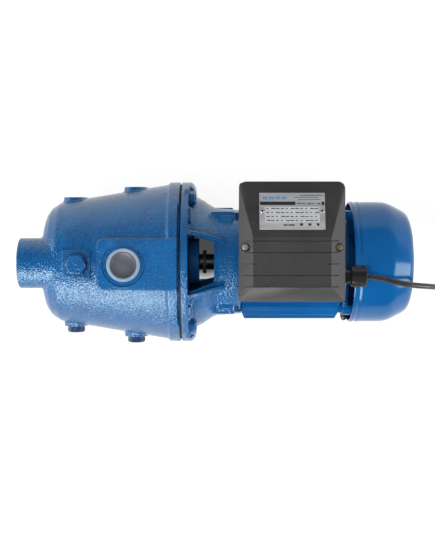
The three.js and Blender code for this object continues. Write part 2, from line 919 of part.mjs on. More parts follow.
// The lead's route from the gland, over the fan cover and down to the floor beside its coil.
const leadPoints = [
  [cordStart, glandY, glandZ],
  [211, -14.5, 77],
  [224, -18, 76],
  [243, -21.5, 72],
  [266, -24, 60],
  [285, -27, 34],
  [297, -31, -4],
  [306, -37, -44],
  [316, -45, -76],
  [327, -53, -90],
  [339, -59.8, lying],
];

// From the coil round to the back of the plug.
const tailPoints = [
  [403.7, -0.6, lying],
  [399, 17, lying],
  [389, 34, lying + 4],
  [377, 43, lying + 12],
  [plugX + 17.5, plugY, floor + plugRadius],
];

function cordTube(name, points, steps) {
  const section = new THREE.Shape();
  section.absarc(0, 0, cordRadius, 0, 2 * Math.PI);
  const route = new THREE.CatmullRomCurve3(points.map((p) => new THREE.Vector3(...p)));
  const geometry = new THREE.ExtrudeGeometry(section, { steps, curveSegments: 5, extrudePath: route });
  piece(name, solidOf(geometry), rubber);
}

function cord() {
  cordTube('power_cord', leadPoints, 30);
  cordTube('cord_tail', tailPoints, 8);
  const points = [
    [coilInner, 0], [coilOuter, 0], [coilOuter, coilHeight], [coilInner, coilHeight], [coilInner, 0],
  ].map(([radius, z]) => new THREE.Vector2(radius, z));
  const coil = new THREE.LatheGeometry(points, 32);
  coil.rotateX(Math.PI / 2);
  coil.translate(...coilCentre, floor + 0.2);
  piece('cord_coil', solidOf(coil), rubber);
}

function mainsPlug() {
  const z = floor + plugRadius;
  const face = plugX - 26;
  let plug = turned([
    [face, 0],
    [face, plugRadius - 0.6],
    [plugX - 6, plugRadius - 0.6],
    [plugX, 9],
    [plugX + 16.5, 5],
    [plugX + 16.5, 0],
  ], 24, plugY, z);
  for (const side of [1, -1]) {
    plug = plug.add(rod(face - 19, face + 1, 2.4, 12, plugY + side * 9.5, z));
  }
  piece('mains_plug', plug, rubber);
}

pumpCasing();
casingGasket();
lanternBracket();
flangeBolts();
plugs();
ejector();
diffuser();
impeller();
seal();
rotor();
bearings();
stator();
motorShell();
rearEndShield();
tieRods();
fan();
fanCover();
terminalBoxBase();
terminalBoxCover();
nameplate();
boxInside();
gland();
cord();
mainsPlug();

const middleX = (suctionFace + coverEnd) / 2;
const plugHeadFace = sidePortFaces[1] + gap + plugHeadHeight;
const middleY = (flangeRadius - plugHeadFace) / 2;
pump.position.set(-middleX, -middleY, shaftHeight);
const group = new THREE.Group();
group.add(pump);
export default group;
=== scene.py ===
"""Finishes the shallow well jet pump: cast, pressed and moulded shapes, materials, the lead, light, camera.

Shapes are written in millimetres in the pump's own coordinates: X = 0 is the joint face of the casing, and
Y = Z = 0 is the shaft's axis. place() takes them into the frame, in metres.
"""

import json
import math

import bmesh
import bpy
from mathutils import Matrix, Vector


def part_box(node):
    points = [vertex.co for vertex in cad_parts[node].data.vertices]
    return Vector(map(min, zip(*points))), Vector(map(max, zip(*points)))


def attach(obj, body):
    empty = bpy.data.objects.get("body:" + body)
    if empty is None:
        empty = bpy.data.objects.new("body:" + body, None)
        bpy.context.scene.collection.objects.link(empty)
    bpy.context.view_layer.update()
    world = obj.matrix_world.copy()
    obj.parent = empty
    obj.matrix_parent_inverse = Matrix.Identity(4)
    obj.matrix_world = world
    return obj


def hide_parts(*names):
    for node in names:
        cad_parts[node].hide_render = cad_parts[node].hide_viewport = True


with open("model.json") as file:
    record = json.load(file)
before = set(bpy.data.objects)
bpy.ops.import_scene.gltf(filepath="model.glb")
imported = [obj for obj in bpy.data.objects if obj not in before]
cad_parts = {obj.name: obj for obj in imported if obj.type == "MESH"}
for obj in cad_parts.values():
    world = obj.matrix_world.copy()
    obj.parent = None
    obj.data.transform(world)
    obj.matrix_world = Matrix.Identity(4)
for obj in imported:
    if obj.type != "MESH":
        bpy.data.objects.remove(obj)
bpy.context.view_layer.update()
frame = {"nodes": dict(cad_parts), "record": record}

MM = 0.001
SHAFT = frame["record"]["behaviour"]["joints"][0]["pos_m"]
JOINT_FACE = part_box("pump_casing")[1][0]
ORIGIN = Vector((JOINT_FACE, SHAFT[1], SHAFT[2]))
BODY = "pump_body"
SLOTS = {part["node"]: part["material_slot"] for part in frame["record"]["subparts"]}
CORNERS = [(1, 1), (-1, 1), (-1, -1), (1, -1)]

# Driving dimensions, close to the frame's
FLANGE_RADIUS = 88
SUCTION_FACE = -172
SUCTION_HEIGHT = 37
SUCTION_RADIUS = 27
DOME_FACE = -151
PORT_RADIUS = 15.1
DISCHARGE_X = -57
DISCHARGE_TOP = 88
PRIMING_X = -107
PRIMING_TOP = 73
SIDE_PORTS = [(-117, 71.5), (-50, 82.8)]
DRAIN_X = -98
BRACKET_FRONT = 1.6
BRACKET_REAR = 59
BRACKET_END = 66.2
WINDOW_REAR = 36.5
FLANGE_BOLT = (70, 37)
TIE_ROD = (51, 28)
SHELL_FRONT, SHELL_REAR = 66.8, 175
FIN_ROOT, FIN_TIP, FIN_COUNT = 56, 63, 28
SHIELD_FRONT, SHIELD_REAR = 175.3, 190
COVER_RIM, COVER_RADIUS, COVER_END = 184.8, 66.3, 250.2
FAN_SCREW_X = 188.2
BOX_X = (61.5, 171)
BOX_Y = (-37.4, 85.5)
BOX_RIM, SKIRT_TOP, BOX_TOP = 88, 95, 112
PLATEAU_X = (76, 155)
PLATEAU_Y = (-21.5, 29)
COVER_SCREWS = [(68.7, 18.6), (163.8, 18.6)]
PLATE_CENTRE = (115.7, 55)
PLATE_SIZE = (66.4, 38.8)
RIVETS = (85.4, 146)
GLAND_Y, GLAND_Z = -12.4, 77
GLAND_NUT_X = 178.3
FOOT_LEVEL, FOOT_TOP = -95, -86

# ---------------------------------------------------------------- camera and lead


def place(point):
    return ORIGIN + Vector(point) * MM


def add_camera():
    data = bpy.data.cameras.new("camera")
    data.lens = 70.4
    data.sensor_width = 36
    data.clip_end = 20
    camera = bpy.data.objects.new("camera", data)
    bpy.context.collection.objects.link(camera)
    camera.location = place((40.2, 46, 1166.7))
    camera.rotation_euler = (math.radians(-2.63), 0, 0)
    bpy.context.scene.camera = camera


add_camera()

CORD_START = 194.8
CORD_RADIUS = 3
COIL_CENTRE = (362, -20)
COIL_RADII = (39.2, 33.2, 27.2)
COIL_ENTRY = 46
LYING = FOOT_LEVEL + CORD_RADIUS + 0.2
PLUG_X, PLUG_Y, PLUG_RADIUS = 349, 44, 18

LEAD_POINTS = [
    (CORD_START, GLAND_Y, GLAND_Z),
    (211, -14.5, 77),
    (224, -18, 76),
    (243, -21.5, 72),
    (266, -24, 60),
    (285, -27, 34),
    (297, -31, -4),
    (306, -37, -44),
    (316, -45, -76),
    (327, -53, -90),
    (339, -59.8, LYING),
]
TAIL_POINTS = [
    (403.7, -0.6, LYING),
    (399, 17, LYING),
    (389, 34, LYING + 4),
    (377, 43, LYING + 12),
    (PLUG_X + 17.5, PLUG_Y, FOOT_LEVEL + PLUG_RADIUS),
]


def smooth_route(points, steps=6):
    """Points of a smooth line through the given ones."""
    p = [Vector(q) for q in points]
    p = [2 * p[0] - p[1]] + p + [2 * p[-1] - p[-2]]
    route = []
    for a, b, c, d in zip(p, p[1:], p[2:], p[3:]):
        square = 2 * a - 5 * b + 4 * c - d
        cube = 3 * b - a - 3 * c + d
        for k in range(steps):
            t = k / steps
            route.append(0.5 * (2 * b + (c - a) * t + square * t**2 + cube * t**3))
    return route + [p[-2]]


def coil_route():
    """Nearly three turns inwards on the floor and nearly three outwards on top of them.

    They run from the lead's end to the tail's start.
    """
    first = math.radians(240)
    last = math.radians(25 + 360 * 6)
    turns_start = first + math.radians(60)
    turns_end = last - math.radians(50)
    pitch = 2 * CORD_RADIUS
    count = 110
    route = []
    for k in range(1, count):
        angle = first + (last - first) * k / count
        wound = (angle - first) / (2 * math.pi)
        inward = min(wound, 5.6 - wound)
        radius = max(COIL_RADII[-1], COIL_RADII[0] - pitch * (inward - 0.35))
        radius = min(radius, COIL_RADII[0] + 0.4)
        level = LYING + pitch * min(1.0, max(0.0, (wound - 2.55) / 0.3))
        if angle < turns_start:
            blend = (angle - first) / (turns_start - first)
            radius = COIL_ENTRY + (radius - COIL_ENTRY) * blend
        if angle >= turns_end:
            blend = (angle - turns_end) / (last - turns_end)
            radius = radius + (COIL_ENTRY - radius) * min(1.0, 1.6 * blend)
            level = level + (LYING - level) * max(0.0, 1.6 * blend - 0.6)
        x = COIL_CENTRE[0] + radius * math.cos(angle)
        y = COIL_CENTRE[1] + radius * math.sin(angle)
        route.append((x, y, level))
    return route


def route_length(points):
    return sum((Vector(a) - Vector(b)).length for a, b in zip(points, points[1:]))


def cord_line():
    lead = [tuple(p) for p in smooth_route(LEAD_POINTS)]
    tail = [tuple(p) for p in smooth_route(TAIL_POINTS)]
    return lead + coil_route() + tail


def make_cord():
    data = bpy.data.curves.new("mains_lead", "CURVE")
    data.dimensions = "3D"
    data.bevel_depth = CORD_RADIUS * MM
    data.bevel_resolution = 5
    data.use_fill_caps = True
    line = cord_line()
    spline = data.splines.new("POLY")
    spline.points.add(len(line) - 1)
    for point, at in zip(spline.points, line):
        point.co = (*place(at), 1)
    cord = bpy.data.objects.new("mains_lead", data)
    bpy.context.collection.objects.link(cord)
    return cord, route_length(line) * MM


mains_lead, lead_length = make_cord()

# ---------------------------------------------------------------- mesh tools


def mesh_object(name, points, faces):
    mesh = bpy.data.meshes.new(name)
    mesh.from_pydata([place(p) for p in points], [], faces)
    mesh.validate()
    bm = bmesh.new()
    bm.from_mesh(mesh)
    bmesh.ops.remove_doubles(bm, verts=bm.verts, dist=1e-7)
    bmesh.ops.recalc_face_normals(bm, faces=bm.faces)
    bm.to_mesh(mesh)
    bm.free()
    obj = bpy.data.objects.new(name, mesh)
    bpy.context.collection.objects.link(obj)
    return obj


def lathe(profile, sides=96, centre=(0.0, 0.0), axis="X"):
    """A closed profile of (along, radius) turned about a line along X, Y or Z through centre."""
    points = []
    for along, radius in profile:
        for k in range(sides):
            a = 2 * math.pi * k / sides
            u = centre[0] + radius * math.cos(a)
            v = centre[1] + radius * math.sin(a)
            points.append({"X": (along, u, v), "Y": (u, along, v), "Z": (u, v, along)}[axis])
    rows = len(profile)
    faces = []
    for i in range(rows - 1):
        for k in range(sides):
            n = (k + 1) % sides
            faces.append((i * sides + k, i * sides + n, (i + 1) * sides + n, (i + 1) * sides + k))
    return mesh_object("lathe", points, faces)


def bar(x0, x1, radius, y=0.0, z=0.0, sides=48):
    return lathe([(x0, 0), (x0, radius), (x1, radius), (x1, 0)], sides, (y, z))


def post(x, y, z0, z1, radius, sides=48, top=None):
    top = radius if top is None else top
    return lathe([(z0, 0), (z0, radius), (z1, top), (z1, 0)], sides, (x, y), "Z")


def peg(x, z, y0, y1, radius, sides=48):
    return lathe([(y0, 0), (y0, radius), (y1, radius), (y1, 0)], sides, (x, z), "Y")


def block(x0, x1, y0, y1, z0, z1):
    return hull([(x, y, z) for x in (x0, x1) for y in (y0, y1) for z in (z0, z1)])


def hull(points):
    mesh = bpy.data.meshes.new("hull")
    bm = bmesh.new()
    for point in points:
        bm.verts.new(place(point))
    bmesh.ops.convex_hull(bm, input=bm.verts)
    bmesh.ops.dissolve_limit(bm, angle_limit=0.01, verts=bm.verts, edges=bm.edges)
    bmesh.ops.recalc_face_normals(bm, faces=bm.faces)
    bm.to_mesh(mesh)
    bm.free()
    obj = bpy.data.objects.new("hull", mesh)
    bpy.context.collection.objects.link(obj)
    return obj


def prism(outline, z0, z1):
    """An outline in X and Y, raised from z0 to z1."""
    return loft([[(x, y, z) for x, y in outline] for z in (z0, z1)])


def rounded_outline(x0, x1, y0, y1, radius, steps=6):
    left, right = x0 + radius, x1 - radius
    near, far = y0 + radius, y1 - radius
    outline = []
    for quarter, (cx, cy) in enumerate(((right, far), (left, far), (left, near), (right, near))):
        for k in range(steps + 1):
            a = math.radians(90 * quarter + 90 * k / steps)
            outline.append((cx + radius * math.cos(a), cy + radius * math.sin(a)))
    return outline


def loft(sections):
    """A closed solid through sections of equal point count, each a list of (x, y, z)."""
    n = len(sections[0])
    points = [point for section in sections for point in section]
    last = n * (len(sections) - 1)
    faces = [tuple(range(n)), tuple(range(last, last + n))]
    for i in range(len(sections) - 1):
        for k in range(n):
            m = (k + 1) % n
            faces.append((i * n + k, i * n + m, i * n + n + m, i * n + n + k))
    return mesh_object("loft", points, faces)


def turn(obj, degrees, centre=(0, 0, 0)):
    """Turns a piece about the line along X through centre."""
    pivot = place(centre)
    turned = Matrix.Translation(pivot) @ Matrix.Rotation(math.radians(degrees), 4, "X")
    obj.data.transform(turned @ Matrix.Translation(-pivot))
    return obj


def discard(obj):
    mesh = obj.data
    bpy.data.objects.remove(obj)
    bpy.data.meshes.remove(mesh)


def bake(obj):
    graph = bpy.context.evaluated_depsgraph_get()
    graph.update()
    mesh = bpy.data.meshes.new_from_object(obj.evaluated_get(graph))
    obj.modifiers.clear()
    old = obj.data
    obj.data = mesh
    bpy.data.meshes.remove(old)
    return obj


def merged(objects):
    """Several objects as one mesh, without joining their volumes."""
    first = objects[0]
    bm = bmesh.new()
    for obj in objects:
        bm.from_mesh(obj.data)
    bm.to_mesh(first.data)
    bm.free()
    for obj in objects[1:]:
        discard(obj)
    return first


def combine(obj, other, operation, solver="EXACT"):
    change = obj.modifiers.new("combine", "BOOLEAN")
    change.operation = operation
    change.solver = solver
    if solver == "EXACT":
        change.use_self = operation == "DIFFERENCE"
    change.object = other
    bake(obj)
    discard(other)
    return obj


def cut(obj, *tools):
    return combine(obj, merged(list(tools)), "DIFFERENCE")


def machine(casting, *tools):
    """Cuts made in a finely meshed casting, one tool after another."""
    for tool in tools:
        combine(casting, tool, "DIFFERENCE", "MANIFOLD")
    return casting


def union(first, *others):
    for other in others:
        combine(first, other, "UNION")
    return first


def cast(parts, hollows=(), voxel=1.0, rounding=8):
    """Rough shapes joined, hollowed, and rounded at every edge and corner as a sand casting is."""
    obj = merged(list(parts))
    step = voxel * 1.0
    for tools in (hollows, ()):
        remesh = obj.modifiers.new("skin", "REMESH")
        remesh.mode = "VOXEL"
        remesh.voxel_size = step * MM
        bake(obj)
        if not tools:
            break
        machine(obj, *tools)
    smooth = obj.modifiers.new("rounding", "SMOOTH")
    smooth.factor = 0.5
    smooth.iterations = rounding
    return bake(obj)


def soften(obj, width, segments=3, angle=30):
    bevel = obj.modifiers.new("edges", "BEVEL")
    bevel.width = width * MM
    bevel.segments = segments
    bevel.limit_method = "ANGLE"
    bevel.angle_limit = math.radians(angle)
    bevel.harden_normals = False
    return bake(obj)


def without_slivers(obj):
    """Closes up the needle-thin faces that booleans and bevels leave."""
    least = 0.002 * MM
    bm = bmesh.new()
    bm.from_mesh(obj.data)
    bmesh.ops.remove_doubles(bm, verts=bm.verts, dist=least)
    bmesh.ops.dissolve_degenerate(bm, dist=least, edges=bm.edges)
    bm.to_mesh(obj.data)
    bm.free()
    return obj


def finished(obj, name, material, *nodes, crease=35, body=BODY):
    without_slivers(obj)
    obj.name = name
    obj.data.name = name
    obj.data.materials.clear()
    obj.data.materials.append(material)
    obj.data.polygons.foreach_set("use_smooth", [True] * len(obj.data.polygons))
    obj.data.set_sharp_from_angle(angle=math.radians(crease))
    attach(obj, body)
    if nodes:
        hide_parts(*nodes)
    return obj


# ---------------------------------------------------------------- materials


class Nodes:
    """A short way of writing node materials."""

    def __init__(self, name):
        self.material = bpy.data.materials.new(name)
        self.material.use_nodes = True
        self.tree = self.material.node_tree
        self.shader = self.tree.nodes["Principled BSDF"]
        self.where = self.add("ShaderNodeTexCoord").outputs["Object"]

    def add(self, kind, **values):
        node = self.tree.nodes.new(kind)
        for key, value in values.items():
            setattr(node, key, value)
        return node

    def link(self, source, target):
        self.tree.links.new(source, target)

    def set(self, **values):
        for key, value in values.items():
            self.shader.inputs[key.replace("_", " ")].default_value = value

    def noise(self, scale, detail=2.0, roughness=0.5, stretch=(1, 1, 1)):
        mapping = self.add("ShaderNodeMapping")
        mapping.inputs["Scale"].default_value = stretch
        self.link(self.where, mapping.inputs["Vector"])
        noise = self.add("ShaderNodeTexNoise")
        noise.inputs["Scale"].default_value = scale
        noise.inputs["Detail"].default_value = detail
        noise.inputs["Roughness"].default_value = roughness
        self.link(mapping.outputs["Vector"], noise.inputs["Vector"])
        return noise.outputs["Fac"]

    def ramp(self, source, stops):
        ramp = self.add("ShaderNodeValToRGB")
        ramp.color_ramp.elements[0].position = stops[0][0]
        ramp.color_ramp.elements[-1].position = stops[-1][0]
        for position, _ in stops[1:-1]:
            ramp.color_ramp.elements.new(position)
        for element, (_, colour) in zip(ramp.color_ramp.elements, stops):
            element.color = (*colour, 1)
        self.link(source, ramp.inputs["Fac"])
        return ramp.outputs["Color"]

    def colour(self, source, dark, light, low=0.3, high=0.7):
        self.link(self.ramp(source, [(low, dark), (high, light)]), self.shader.inputs["Base Color"])

    def roughness(self, source, low, high):
        spread = self.add("ShaderNodeMapRange")
        spread.inputs["To Min"].default_value = low
        spread.inputs["To Max"].default_value = high
        self.link(source, spread.inputs["Value"])
        self.link(spread.outputs["Result"], self.shader.inputs["Roughness"])

    def bump(self, *layers):
        """Each layer is (height output, depth in mm)."""
        normal = None
        for height, depth in layers:
            bump = self.add("ShaderNodeBump")
            bump.inputs["Strength"].default_value = 1.0
            bump.inputs["Distance"].default_value = depth * MM
            self.link(height, bump.inputs["Height"])
            if normal:
                self.link(normal, bump.inputs["Normal"])
            normal = bump.outputs["Normal"]
        self.link(normal, self.shader.inputs["Normal"])


BLUE_SHEEN = (0.76, 1.0, 0.96, 1)


def cast_enamel():
    n = Nodes("cast_enamel")
    n.colour(n.noise(35, 3), (0.004, 0.087, 0.27), (0.006, 0.118, 0.355))
    n.roughness(n.noise(180, 2), 0.1, 0.17)
    n.set(Specular_IOR_Level=0.8, Specular_Tint=BLUE_SHEEN, Coat_Weight=0.1, Coat_Roughness=0.12)
    n.bump((n.noise(90, 2), 0.4), (n.noise(560, 1), 0.95))
    return n.material


def gloss_paint(name, smooth, rough, shine):
    n = Nodes(name)
    n.colour(n.noise(14, 2), (0.004, 0.098, 0.315), (0.006, 0.120, 0.375))
    n.roughness(n.noise(60, 2), smooth, rough)
    n.set(Specular_IOR_Level=shine, Specular_Tint=BLUE_SHEEN, Coat_Weight=0.2 * shine, Coat_Roughness=0.06)
    n.bump((n.noise(26, 1), 0.25), (n.noise(700, 2), 0.012))
    return n.material


def black_plastic():
    n = Nodes("black_plastic")
    n.colour(n.noise(40, 3), (0.022, 0.0207, 0.0215), (0.031, 0.029, 0.030))
    n.roughness(n.noise(300, 2), 0.42, 0.58)
    n.set(Specular_IOR_Level=0.65)
    n.bump((n.noise(900, 2, 0.6), 0.42), (n.noise(60, 2), 0.06))
    return n.material


def smooth_black_plastic():
    n = Nodes("smooth_black_plastic")
    n.colour(n.noise(60, 2), (0.010, 0.010, 0.010), (0.017, 0.016, 0.016))
    n.roughness(n.noise(200, 2), 0.28, 0.4)
    n.bump((n.noise(500, 2), 0.02), (n.noise(60, 1), 0.04))
    return n.material


def lead_rubber():
    n = Nodes("lead_rubber")
    n.colour(n.noise(90, 3), (0.024, 0.023, 0.024), (0.040, 0.039, 0.040))
    n.roughness(n.noise(250, 2), 0.2, 0.32)
    n.bump((n.noise(700, 2), 0.03), (n.noise(80, 1), 0.12))
    return n.material


def dark_plating():
    n = Nodes("dark_plating")
    n.colour(n.noise(120, 3), (0.012, 0.035, 0.095), (0.030, 0.065, 0.15))
    n.roughness(n.noise(260, 2), 0.25, 0.42)
    n.set(Metallic=0.35)
    n.bump((n.noise(400, 3), 0.06), (n.noise(90, 1), 0.1))
    return n.material


def zinc_steel():
    n = Nodes("zinc_steel")
    n.colour(n.noise(150, 3), (0.34, 0.33, 0.31), (0.52, 0.52, 0.50))
    n.roughness(n.noise(320, 2), 0.24, 0.42)
    n.set(Metallic=1.0)
    n.bump((n.noise(600, 3), 0.03), (n.noise(60, 1), 0.03))
    return n.material


def worn_steel(name, dark, light):
    n = Nodes(name)
    n.colour(n.noise(150, 3), dark, light)
    n.roughness(n.noise(320, 2), 0.3, 0.45)
    n.set(Metallic=0.45)
    n.bump((n.noise(600, 3), 0.03), (n.noise(60, 1), 0.03))
    return n.material


def white_plastic():
    n = Nodes("white_plastic")
    n.colour(n.noise(50, 2), (0.22, 0.31, 0.42), (0.28, 0.37, 0.48))
    n.roughness(n.noise(200, 2), 0.3, 0.42)
    n.set(Subsurface_Weight=0.08)
    n.bump((n.noise(300, 2), 0.03), (n.noise(60, 1), 0.03))
    return n.material


def grey_plastic():
    n = Nodes("grey_plastic")
    n.colour(n.noise(50, 2), (0.25, 0.25, 0.24), (0.34, 0.34, 0.33))
    n.roughness(n.noise(200, 2), 0.45, 0.6)
    n.bump((n.noise(400, 2), 0.04), (n.noise(60, 1), 0.03))
    return n.material


def cap_disc():
    n = Nodes("cap_disc")
    n.colour(n.noise(60, 2), (0.080, 0.085, 0.105), (0.110, 0.115, 0.140))
    n.roughness(n.noise(200, 2), 0.3, 0.45)
    n.bump((n.noise(250, 2), 0.05), (n.noise(60, 1), 0.05))
    return n.material


def satin_plate():
    n = Nodes("satin_plate")
    n.colour(n.noise(240, 3, stretch=(0.06, 1, 1)), (0.50, 0.51, 0.53), (0.66, 0.67, 0.69))
    n.roughness(n.noise(400, 2, stretch=(0.05, 1, 1)), 0.36, 0.5)
    n.set(Metallic=0.55)
    n.bump((n.noise(900, 2, stretch=(0.05, 1, 1)), 0.01), (n.noise(60, 1), 0.02))
    return n.material


def ink(name, dark, light):
    n = Nodes(name)
    n.colour(n.noise(300, 2), dark, light)
    n.roughness(n.noise(300, 2), 0.4, 0.55)
    n.bump((n.noise(900, 2), 0.01), (n.noise(60, 1), 0.01))
    return n.material


def brass():
    n = Nodes("brass")
    n.colour(n.noise(80, 3), (0.55, 0.38, 0.14), (0.75, 0.56, 0.26))
    n.roughness(n.noise(200, 2), 0.25, 0.4)
    n.set(Metallic=1.0)
    n.bump((n.noise(300, 2), 0.05), (n.noise(60, 1), 0.03))
    return n.material


def copper():
    n = Nodes("copper")
    n.colour(n.noise(400, 3, stretch=(1, 1, 0.1)), (0.30, 0.10, 0.04), (0.62, 0.28, 0.12))
    n.roughness(n.noise(300, 2), 0.25, 0.45)
    n.set(Metallic=0.8)
    n.bump((n.noise(500, 2, stretch=(0.1, 1, 1)), 0.4), (n.noise(60, 1), 0.03))
    return n.material


def lamination():
    n = Nodes("lamination")
    n.colour(n.noise(900, 2, stretch=(1, 0.02, 0.02)), (0.08, 0.08, 0.085), (0.20, 0.20, 0.21))
    n.roughness(n.noise(200, 2), 0.4, 0.6)
    n.set(Metallic=0.8)
    n.bump((n.noise(900, 2, stretch=(1, 0.02, 0.02)), 0.15), (n.noise(60, 1), 0.03))
    return n.material


def gasket_fibre():
    n = Nodes("gasket_fibre")
    n.colour(n.noise(200, 3), (0.008, 0.008, 0.009), (0.018, 0.018, 0.018))
    n.roughness(n.noise(300, 2), 0.65, 0.85)
    n.bump((n.noise(800, 3), 0.06), (n.noise(60, 1), 0.03))
    return n.material


ENAMEL = cast_enamel()
PAINT = gloss_paint("gloss_paint", 0.12, 0.2, 0.4)
SHELL_PAINT = gloss_paint("shell_paint", 0.36, 0.48, 0.06)
PLASTIC = black_plastic()
SMOOTH_PLASTIC = smooth_black_plastic()
LEAD = lead_rubber()
DARK = dark_plating()
STEEL = zinc_steel()
DULL_STEEL = worn_steel("dull_steel", (0.34, 0.34, 0.32), (0.50, 0.50, 0.48))
BRONZE = worn_steel("bronze_steel", (0.22, 0.17, 0.12), (0.36, 0.29, 0.20))
WHITE = white_plastic()
GREY = grey_plastic()
DISC = cap_disc()
PLATE = satin_plate()
INK_BLACK = ink("ink_black", (0.012, 0.012, 0.014), (0.022, 0.022, 0.026))
INK_BLUE = ink("ink_blue", (0.09, 0.22, 0.40), (0.13, 0.29, 0.48))
INK_LIGHT = ink("ink_light", (0.50, 0.51, 0.52), (0.60, 0.61, 0.62))
BRASS = brass()
COPPER = copper()
LAMINATION = lamination()
FIBRE = gasket_fibre()

SLOT_MATERIALS = {
    "blue_cast_enamel": ENAMEL,
    "blue_gloss_paint": PAINT,
    "dark_fastener": DARK,
    "zinc_steel": STEEL,
    "lamination": LAMINATION,
    "winding_copper": COPPER,
    "brass": BRASS,
    "aluminium_label": PLATE,
    "black_plastic": PLASTIC,
    "white_plastic": WHITE,
    "grey_plastic": GREY,
    "black_rubber": LEAD,
    "gasket_paper": FIBRE,
}


def finish_cad_nodes():
    for name, obj in frame["nodes"].items():
        obj.data.materials.clear()
        obj.data.materials.append(SLOT_MATERIALS[SLOTS[name]])


# ---------------------------------------------------------------- pump end


def hex_head(face, height, across, centre, axis, away=1):
    """A hexagon head with chamfered corners, standing on face and growing along the axis."""
    corner = across / math.sqrt(3)
    low, high = face, face + away * height
    head = lathe([(low, 0), (low, corner), (high, corner), (high, 0)], 6, centre, axis)
    inner = across / 2 * 0.94
    edge = high - away * (corner - inner) * 0.7
    limit = [(low, 0), (low, corner + 1), (edge, corner + 0.2), (high, inner), (high, 0)]
    return combine(head, lathe(limit, 48, centre, axis), "INTERSECT")


def casing_profile():
    return [
        (DOME_FACE, 0), (DOME_FACE + 0.7, 31), (-148.5, 44.3), (-145.4, 53.6), (-140.7, 59.8), (-131.3, 65.7),
        (-12.8, 85.4), (-11.8, FLANGE_RADIUS), (0, FLANGE_RADIUS), (0, 0),
    ]


def suction_neck():
    """The raised channel from the suction boss over the dome to the discharge pad."""
    stations = [
        (-166, 26, 37, 63),
        (-152, 26.8, 37, 64.3),
        (-140, 27, 37, 65.2),
        (-122, 27, 37, 67),
        (-96, 25, 39, 69.5),
        (-80, 22, 42, 72),
    ]
    sections = []
    for x, half, middle, top in stations:
        arch = []
        for k in range(25):
            a = math.pi * k / 24
            arch.append((x, half * math.cos(a), middle + (top - middle) * math.sin(a)))
        sections.append(arch + [(x, -half, 15), (x, half, 15)])
    return loft(sections)


def discharge_pad():
    return prism(rounded_outline(-84.6, 12, -26, 26, 6.7), 50, DISCHARGE_TOP)


def casing():
    parts = [
        lathe(casing_profile(), 128),
        bar(SUCTION_FACE, -110, SUCTION_RADIUS, 0, SUCTION_HEIGHT, 96),
        discharge_pad(),
        suction_neck(),
        post(DRAIN_X, 0, -78, -60, 12),
    ]
    for x, face in SIDE_PORTS:
        parts.append(peg(x, 0, -face, face, 13))
    for side in (1, -1):
        parts.append(hull([(x, side * y, z) for x, y in ((-8, 60), (-8, 84), (-5, 87.5), (0, 87.5), (0, 60))
                           for z in (-30, 12)]))
    keep = bar(-200, -0.3, 200)
    cavity = lathe([
        (-145, 0), (-144, 34), (-139, 52), (-129, 59.7), (-26, 77), (-20, 71), (1, 71), (1, 0),
    ])
    body = cast(parts, (cavity,), 1.0, 5)
    combine(body, keep, "INTERSECT", "MANIFOLD")
    port = lathe(
        [(60, 0), (60, PORT_RADIUS), (DISCHARGE_TOP - 2, PORT_RADIUS), (DISCHARGE_TOP - 2, 21.6),
         (DISCHARGE_TOP - 0.5, 22.6), (DISCHARGE_TOP + 3, 22.6), (DISCHARGE_TOP + 3, 0)],
        96, axis="Z", centre=(DISCHARGE_X, 0),
    )
    face = SUCTION_FACE
    threads = [(face - 3, 0), (face - 3, 18.5), (face, 17.6), (face + 1.5, 16.4)]
    pitch = 2.31
    for k in range(8):
        x = face + 1.5 + k * pitch
        threads += [(x + 0.3 * pitch, 15.2), (x + 0.8 * pitch, 16.6)]
    threads += [(face + 22, PORT_RADIUS), (-120, PORT_RADIUS), (-120, 0)]
    suction = lathe(threads, 72, (0, SUCTION_HEIGHT))
    priming_pad = hull([
        (PRIMING_X + side * (15 + draft), y, z)
        for side in (1, -1)
        for draft, near, z in ((0, -14.6, PRIMING_TOP), (0.8, -18.8, 58))
        for y in (near, 15 + draft)
    ])
    # An open fault: joined after the hollow is cut, both blocks stand in it and the discharge bore is blind
    combine(body, soften(priming_pad, 0.9, 3, 50), "UNION", "MANIFOLD")
    combine(body, soften(discharge_pad(), 1.1, 3, 50), "UNION", "MANIFOLD")
    combine(body, block(-200, -0.3, -120, 120, -120, 120), "INTERSECT", "MANIFOLD")
    thread = post(PRIMING_X, 0, 40, 90, 8.6, 48)
    rebate = lathe([(-2.0, 80), (-2.0, 92), (2, 92), (2, 80), (-2.0, 80)], 128)
    combine(rebate, block(-5, 5, -90, 90, 58, 100), "INTERSECT")
    machine(body, port, suction, thread, rebate)
    finished(body, "casing_casting", ENAMEL, "pump_casing", crease=40)


def painted_bore_shade():
    """A dark disc across the suction bore's far end: painted shade standing in for the deep passage where the
    water goes down to the ejector.
    """
    ring = lathe([(-121.5, 0), (-121.5, 15.0), (-120.2, 15.0), (-120.2, 0)], 48, (0, SUCTION_HEIGHT))
    # Painted shade: the dark disc closes the view down the bore, where the real passage lies in deep shadow.
    finished(ring, "suction_bore_shade_disc", DARK)


def gasket():
    ring = lathe([(0.0, 74), (0.0, 85.5), (1.4, 85.5), (1.4, 74), (0.0, 74)], 128)
    finished(ring, "joint_gasket", FIBRE, "casing_gasket")


